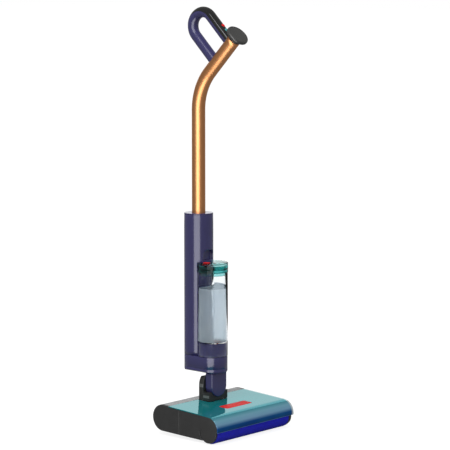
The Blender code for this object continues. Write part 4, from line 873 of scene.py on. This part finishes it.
def make_tank_cap():
    """Teal cap: an outer cup with a ribbed side, and the plug's ring inside it."""
    low, high = tank_cap_low[2] + 0.0080, tank_cap_high[2]
    out = TANK_R - CAP_R
    levels = [(TANK_WALL + 0.0008, low + 0.0180), (TANK_WALL + 0.0008, low), (out + 0.0006, low), (out, low + 0.0006),
              (out, low + 0.0060), (out + 0.0007, low + 0.0066), (out + 0.0007, low + 0.0076), (out, low + 0.0082),
              (out, high - 0.0062), (out + 0.0005, high - 0.0057), (out, high - 0.0052), (out, high - 0.0014),
              (out + 0.0004, high - 0.0004), (out + 0.0014, high)]
    rows = crescent_rows(levels, low + 0.0180, high)
    shift = np.clip(rows[..., 1:2] - (BODY_Y - BODY_R), 0, None)
    rows = rows - shift * np.array([0, 0, 0.0])
    cap = piece("tank_cap_shell", [rows], TEAL_CLEAR, "tank_cap", ["tank_cap"], sharp=50)
    ring_low = tank_cap_low[2]
    inner = TANK_WALL + 0.0007
    ring = [(inner, ring_low), (inner, low + 0.0170), (inner + 0.0022, low + 0.0170), (inner + 0.0022, ring_low),
            (inner, ring_low)]
    piece("tank_cap_plug", [crescent_rows(ring)], TEAL_CLEAR, "tank_cap", sharp=50)
    return cap


def make_small_turned():
    centre = (red_disc_low + red_disc_high) / 2
    radius = (red_disc_high[0] - red_disc_low[0]) / 2
    profile = eased([(0, red_disc_low[2]), (radius, red_disc_low[2]), (radius, red_disc_high[2]),
                     (radius * 0.3, red_disc_high[2] + 0.0001), (0, red_disc_high[2] + 0.0001)], 0.0006)
    piece("tank_release_disc", [turned(profile, (centre[0], centre[1], 0), UP)], RED, "tank_button",
          ["tank_release_button"])


# ---------------------------------------------------------------- wand, screen and loop handle
def wand_line(s):
    """Centre line of the wand and its in-plane normal at lengths s: straight up, an arc, straight on."""
    straight = BODY_TOP + WAND_STRAIGHT
    first = straight - wand_low[2]
    a = np.clip((s - first) / WAND_BEND_R, 0, WAND_BEND)
    after = np.clip(s - first - WAND_BEND_R * WAND_BEND, 0, None)
    y = BODY_Y - WAND_BEND_R * (1 - np.cos(a)) - after * math.sin(WAND_BEND)
    z = np.minimum(wand_low[2] + s, straight) + WAND_BEND_R * np.sin(a) + after * math.cos(WAND_BEND)
    normal = np.stack([np.zeros_like(a), -np.cos(a), -np.sin(a)], -1)
    return np.stack([np.zeros_like(s), y, z], -1), normal


def ringed(points, normals, radius, angles):
    """Tube sheet: point = centre + radius (cos a x normal + sin a x X)."""
    a = angles[None, :, None] if angles.ndim == 1 else angles[..., None]
    r = radius if np.ndim(radius) == 0 else radius[..., None]
    return points[:, None] + r * (np.cos(a) * normals[:, None] + np.sin(a) * ACROSS)


def make_wand():
    """Copper tube, carried along its centre line, open at both ends inside the body and the collar."""
    first = BODY_TOP + WAND_STRAIGHT - wand_low[2]
    bend = WAND_BEND_R * WAND_BEND
    stop = first + bend + DISC_AT - DISC_THICK / 2 - COLLAR_HEIGHT
    s = np.concatenate([np.linspace(0, first, 20), first + np.linspace(0, bend, 41)[1:],
                        first + bend + np.linspace(0, stop - first - bend, 12)[1:]])
    points, normals = wand_line(s)
    tube = ringed(points, normals, WAND_R, np.linspace(0, TURN, 129))
    return piece("wand_tube", [tube], COPPER, "upright", ["wand"], wall=0.0016)


def loop_line(s):
    """Centre line of the loop at lengths s: out along the lower bar, half a turn, back along the upper."""
    a = np.clip((s - LOOP_LENGTH) / LOOP_R, 0, math.pi)
    out = np.minimum(s, LOOP_LENGTH) - LOOP_LENGTH
    back = np.clip(s - LOOP_LENGTH - math.pi * LOOP_R, 0, None)
    along = (out + LOOP_R * np.sin(a) - back)[:, None]
    across = (-LOOP_R * np.cos(a))[:, None]
    normal = -np.cos(a)[:, None] * SLOPE_DIR + np.sin(a)[:, None] * BAR_DIR
    return LOOP_CENTRE + along * BAR_DIR + across * SLOPE_DIR, normal


def cover_half_angle(s):
    """Half the angle that the black cover takes of the tube at length s.

    Half the tube on the upper bar; round the end its edge drifts outwards as the square of the turn,
    until it leaves the tube on the far side.
    """
    turn = np.clip((LOOP_LENGTH + math.pi * LOOP_R - s) / LOOP_R, 0, None)
    drift = (LOOP_TUBE + 0.002) * (turn / math.radians(165)) ** 2 + 0.0010
    return np.arccos(np.clip(drift / LOOP_TUBE, -1, 1))


def make_loop():
    """Blue loop tube with a shallow bed for its cover; both bars end in a saddle on the wand."""
    total = 2 * LOOP_LENGTH + math.pi * LOOP_R
    s = np.concatenate([np.linspace(0, LOOP_LENGTH, 24), LOOP_LENGTH + np.linspace(0, math.pi * LOOP_R, 73)[1:],
                        total - LOOP_LENGTH + np.linspace(0, LOOP_LENGTH, 40)[1:]])
    points, normals = loop_line(s)
    half = np.clip(cover_half_angle(s), 0.0, None)[:, None]
    share = np.linspace(0, 1, 49)
    bare = half + 0.015 + share * (TURN - 2 * half - 0.03)
    bed = TURN - half + np.linspace(0, 1, 33) * 2 * half
    angles = np.concatenate([bare, bed, half + 0.015 + TURN], 1)
    depth = np.where(half > 0.02, 0.0010, 0.0)
    radius = np.concatenate([np.full_like(bare, LOOP_TUBE), LOOP_TUBE - depth * np.ones_like(bed),
                             np.full_like(half, LOOP_TUBE)], 1)
    tube = ringed(points, normals, radius, angles)
    side = radius * np.sin(angles)
    saddle = np.sqrt(WAND_R ** 2 - np.clip(side, -WAND_R, WAND_R) ** 2) - 0.0006
    along = (tube - LOOP_CENTRE) @ BAR_DIR + LOOP_LENGTH
    short = np.clip(saddle - along, 0, None)
    tube = tube + short[..., None] * BAR_DIR
    piece("handle_loop_tube", [tube], VIOLET, "upright", ["handle_loop"], sharp=60)
    keep = cover_half_angle(s) > 0.03
    start_s = s[keep][0]
    fine = np.concatenate([np.linspace(start_s, LOOP_LENGTH + math.pi * LOOP_R, 90), s[s > total - LOOP_LENGTH]])
    points, normals = loop_line(fine)
    half = cover_half_angle(fine)[:, None] - 0.010
    angles = (np.linspace(-1, 1, 41)[None] * half)
    cover = ringed(points, normals, LOOP_TUBE + 0.0001, angles)
    side = LOOP_TUBE * np.sin(angles)
    saddle = np.sqrt(WAND_R ** 2 - side ** 2) - 0.0006
    along = (cover - LOOP_CENTRE) @ BAR_DIR + LOOP_LENGTH
    cover = cover + np.clip(saddle - along, 0, None)[..., None] * BAR_DIR
    piece("handle_cover", [cover], GLOSS_BLACK, "upright", ["handle_top_cover"], wall=0.0009)


def make_keys():
    """Two round keys on the upper bar, with eased rims and a dished face."""
    for name, along, finish in (("power", POWER_AT, RED), ("mode", MODE_AT, TEAL_KEY)):
        seat = BAR_HIGH + along * BAR_DIR
        rise = LOOP_TUBE + 0.0005
        profile = eased([(0, rise - 0.0025), (KEY_R, rise - 0.0025), (KEY_R, rise), (KEY_R * 0.6, rise - 0.0001),
                         (0, rise - 0.0003)], 0.0005)
        piece(name + "_key", [turned(profile, seat, SLOPE_DIR, 48)], finish, name + "_button", [name + "_button"])


def make_screen():
    """Round screen housing on its collar, and the smoked lens let into its face."""
    disc = BEND_END + DISC_AT * SLOPE_DIR
    half = DISC_THICK / 2
    profile = eased([(0, -half), (DISC_R - 0.004, -half), (DISC_R, -half + 0.0028), (DISC_R, half - 0.0026),
                     (DISC_R - 0.0022, half), (LENS_R + SEAM, half), (LENS_R + SEAM, half - 0.0010),
                     (0, half - 0.0010)], (0, 0, 0.002, 0.002, 0.0015, 0.0003, 0.0001, 0))
    piece("screen_rim", [turned(profile, disc, SLOPE_DIR, 128)], DISC_GREY, "upright", ["screen_housing"])
    r = np.linspace(0, 1, 14)
    face = [(LENS_R * k, half - 0.0002 + 0.0002 * (1 - k ** 2)) for k in r[::-1]]
    back = [(0, half - 0.0007), (LENS_R, half - 0.0007)]
    piece("screen_glass", [turned(back + face, disc, SLOPE_DIR, 128)], LENS, "upright", ["screen_lens"])
    collar = eased([(0, -half - COLLAR_HEIGHT), (WAND_R + 0.0014, -half - COLLAR_HEIGHT),
                    (WAND_R + 0.0014, -half - SEAM), (0, -half - SEAM)], 0.0008)
    piece("wand_collar_ring", [turned(collar, disc, SLOPE_DIR, 96)], BLACK, "upright", ["wand_collar"])


# ---------------------------------------------------------------- finishes of the nodes that stay
KEPT = {
    "head_chassis": GREY, "front_water_bar": CLEAR, "rear_water_bar": CLEAR, "wiper_strip": RUBBER,
    "hinge_bracket": STEEL, "recline_pin": STEEL, "swivel_pin": STEEL, "wheel_axle_left": STEEL,
    "wheel_axle_right": STEEL, "rear_wheel_left": RUBBER, "rear_wheel_right": RUBBER, "front_roller_core": BLACK,
    "rear_roller_core": BLACK, "front_roller_motor": STEEL, "rear_roller_motor": STEEL,
    "front_roller_bearing": STEEL, "rear_roller_bearing": STEEL, "front_roller_stub_axle": STEEL,
    "rear_roller_stub_axle": STEEL, "front_brush_roll": BRISTLE, "rear_brush_roll": BRISTLE,
    "dirty_tank_tub": CLEAR, "debris_tray": CHARCOAL, "battery_pack": CHARCOAL, "control_board": BOARD,
    "water_pump": BLACK, "feed_hose": RUBBER, "tank_valve": RED, "valve_spring": STEEL,
    "charging_contact_left": BRASS, "charging_contact_right": BRASS,
}


def finish_kept_nodes():
    for name, finish in KEPT.items():
        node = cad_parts[name]
        if not node.material_slots:
            node.data.materials.append(finish)
        for held in node.material_slots:
            held.material = finish


# ---------------------------------------------------------------- studio
def make_camera():
    data = bpy.data.cameras.new("studio_camera")
    data.lens = CAMERA_LENS
    data.sensor_width = 36
    data.clip_end = 100
    camera = bpy.data.objects.new("studio_camera", data)
    bpy.context.scene.collection.objects.link(camera)
    camera.location = CAMERA_SPOT
    camera.rotation_euler = (math.pi / 2 + CAMERA_PITCH, 0, CAMERA_YAW)
    bpy.context.scene.camera = camera


def area_light(name, spot, aim, width, height, power, diffuse=True, glossy=True):
    data = bpy.data.lights.new(name, "AREA")
    data.shape = "RECTANGLE"
    data.size, data.size_y = width, height
    data.energy = power
    lamp = bpy.data.objects.new(name, data)
    bpy.context.scene.collection.objects.link(lamp)
    lamp.location = spot
    way = Vector(aim) - Vector(spot)
    lamp.rotation_euler = way.to_track_quat("-Z", "Y").to_euler()
    lamp.visible_camera = False
    lamp.visible_diffuse = diffuse
    lamp.visible_glossy = glossy
    lamp.visible_transmission = False
    return lamp


def seen_directly(tree):
    """1 where a ray comes from the lens or through clear plastic, 0 for reflections and bounced light."""
    path = tree.nodes.new("ShaderNodeLightPath")
    either = tree.nodes.new("ShaderNodeMath")
    either.operation = "MAXIMUM"
    tree.links.new(path.outputs["Is Camera Ray"], either.inputs[0])
    tree.links.new(path.outputs["Is Transmission Ray"], either.inputs[1])
    return either.outputs["Value"], path


def make_world():
    world = bpy.data.worlds.new("studio")
    bpy.context.scene.world = world
    world.use_nodes = True
    tree = world.node_tree
    direct, path = seen_directly(tree)
    back = tree.nodes["Background"]
    mix = tree.nodes.new("ShaderNodeMix")
    tree.links.new(direct, mix.inputs["Factor"])
    mix.inputs["A"].default_value = 0.62
    mix.inputs["B"].default_value = 1.0
    glossy = tree.nodes.new("ShaderNodeMix")
    tree.links.new(path.outputs["Is Glossy Ray"], glossy.inputs["Factor"])
    tree.links.new(mix.outputs["Result"], glossy.inputs["A"])
    glossy.inputs["B"].default_value = 0.30
    tree.links.new(glossy.outputs["Result"], back.inputs["Strength"])
    back.inputs["Color"].default_value = (1, 1, 1, 1)


def make_floor():
    """Pale floor that the lens sees as near-white, with a soft shadow."""
    mesh = bpy.data.meshes.new("studio_floor")
    reach = 40.0
    mesh.from_pydata([(-reach, -reach, 0), (reach, -reach, 0), (reach, reach, 0), (-reach, reach, 0)], [],
                     [(0, 1, 2, 3)])
    floor = bpy.data.objects.new("studio_floor", mesh)
    bpy.context.scene.collection.objects.link(floor)
    floor_finish = bpy.data.materials.new("studio_floor")
    floor_finish.use_nodes = True
    tree = floor_finish.node_tree
    shader = tree.nodes["Principled BSDF"]
    shader.inputs["Base Color"].default_value = (0.30, 0.30, 0.30, 1)
    shader.inputs["Roughness"].default_value = 1.0
    shader.inputs["Specular IOR Level"].default_value = 0.0
    direct, _ = seen_directly(tree)
    glow = tree.nodes.new("ShaderNodeMath")
    glow.operation = "MULTIPLY"
    glow.inputs[1].default_value = 0.86
    tree.links.new(direct, glow.inputs[0])
    shader.inputs["Emission Color"].default_value = (1, 1, 1, 1)
    tree.links.new(glow.outputs["Value"], shader.inputs["Emission Strength"])
    mesh.materials.append(floor_finish)
    floor.visible_glossy = False


def make_lights():
    view_yaw = CAMERA_YAW
    towards = np.array([math.sin(view_yaw), -math.cos(view_yaw), 0.0])
    left = np.array([-math.cos(view_yaw), -math.sin(view_yaw), 0.0])
    way = math.cos(STRIP_YAW) * towards + math.sin(STRIP_YAW) * left
    middle = np.array([0, 0.06, 0.0])
    tall = STRIP_HIGH - STRIP_LOW
    spot = middle + way * STRIP_DISTANCE + np.array([0, 0, STRIP_LOW + tall / 2])
    area_light("strip_box", spot, middle + np.array([0, 0, spot[2]]), STRIP_WIDTH, tall, STRIP_POWER * tall,
               diffuse=False)
    back = middle - towards * 3.0 + np.array([0, 0, 1.3])
    area_light("white_backdrop", back, middle + np.array([0, 0, 0.6]), 3.2, 2.4, 22, diffuse=False)
    over = middle + towards * 1.2 + left * 0.8 + np.array([0, 0, 2.6])
    area_light("soft_top", over, middle + np.array([0, 0, 0.5]), 1.8, 1.8, 26, glossy=False)


# ---------------------------------------------------------------- build
make_camera()
make_world()
make_floor()
make_lights()
make_top_cover()
head_button()
make_hood()
make_end_panels()
make_roller("front_roller", roller_low, roller_high, "front_roller")
make_roller("rear_roller", roller2_low, roller2_high, "rear_roller")
make_yoke()
make_neck()
make_housing()
make_body_shell()
make_body_cap()
make_tank()
make_plinth()
make_tank_cap()
make_small_turned()
make_wand()
make_loop()
make_keys()
make_screen()
finish_kept_nodes()
bpy.context.scene.view_settings.view_transform = "Standard"
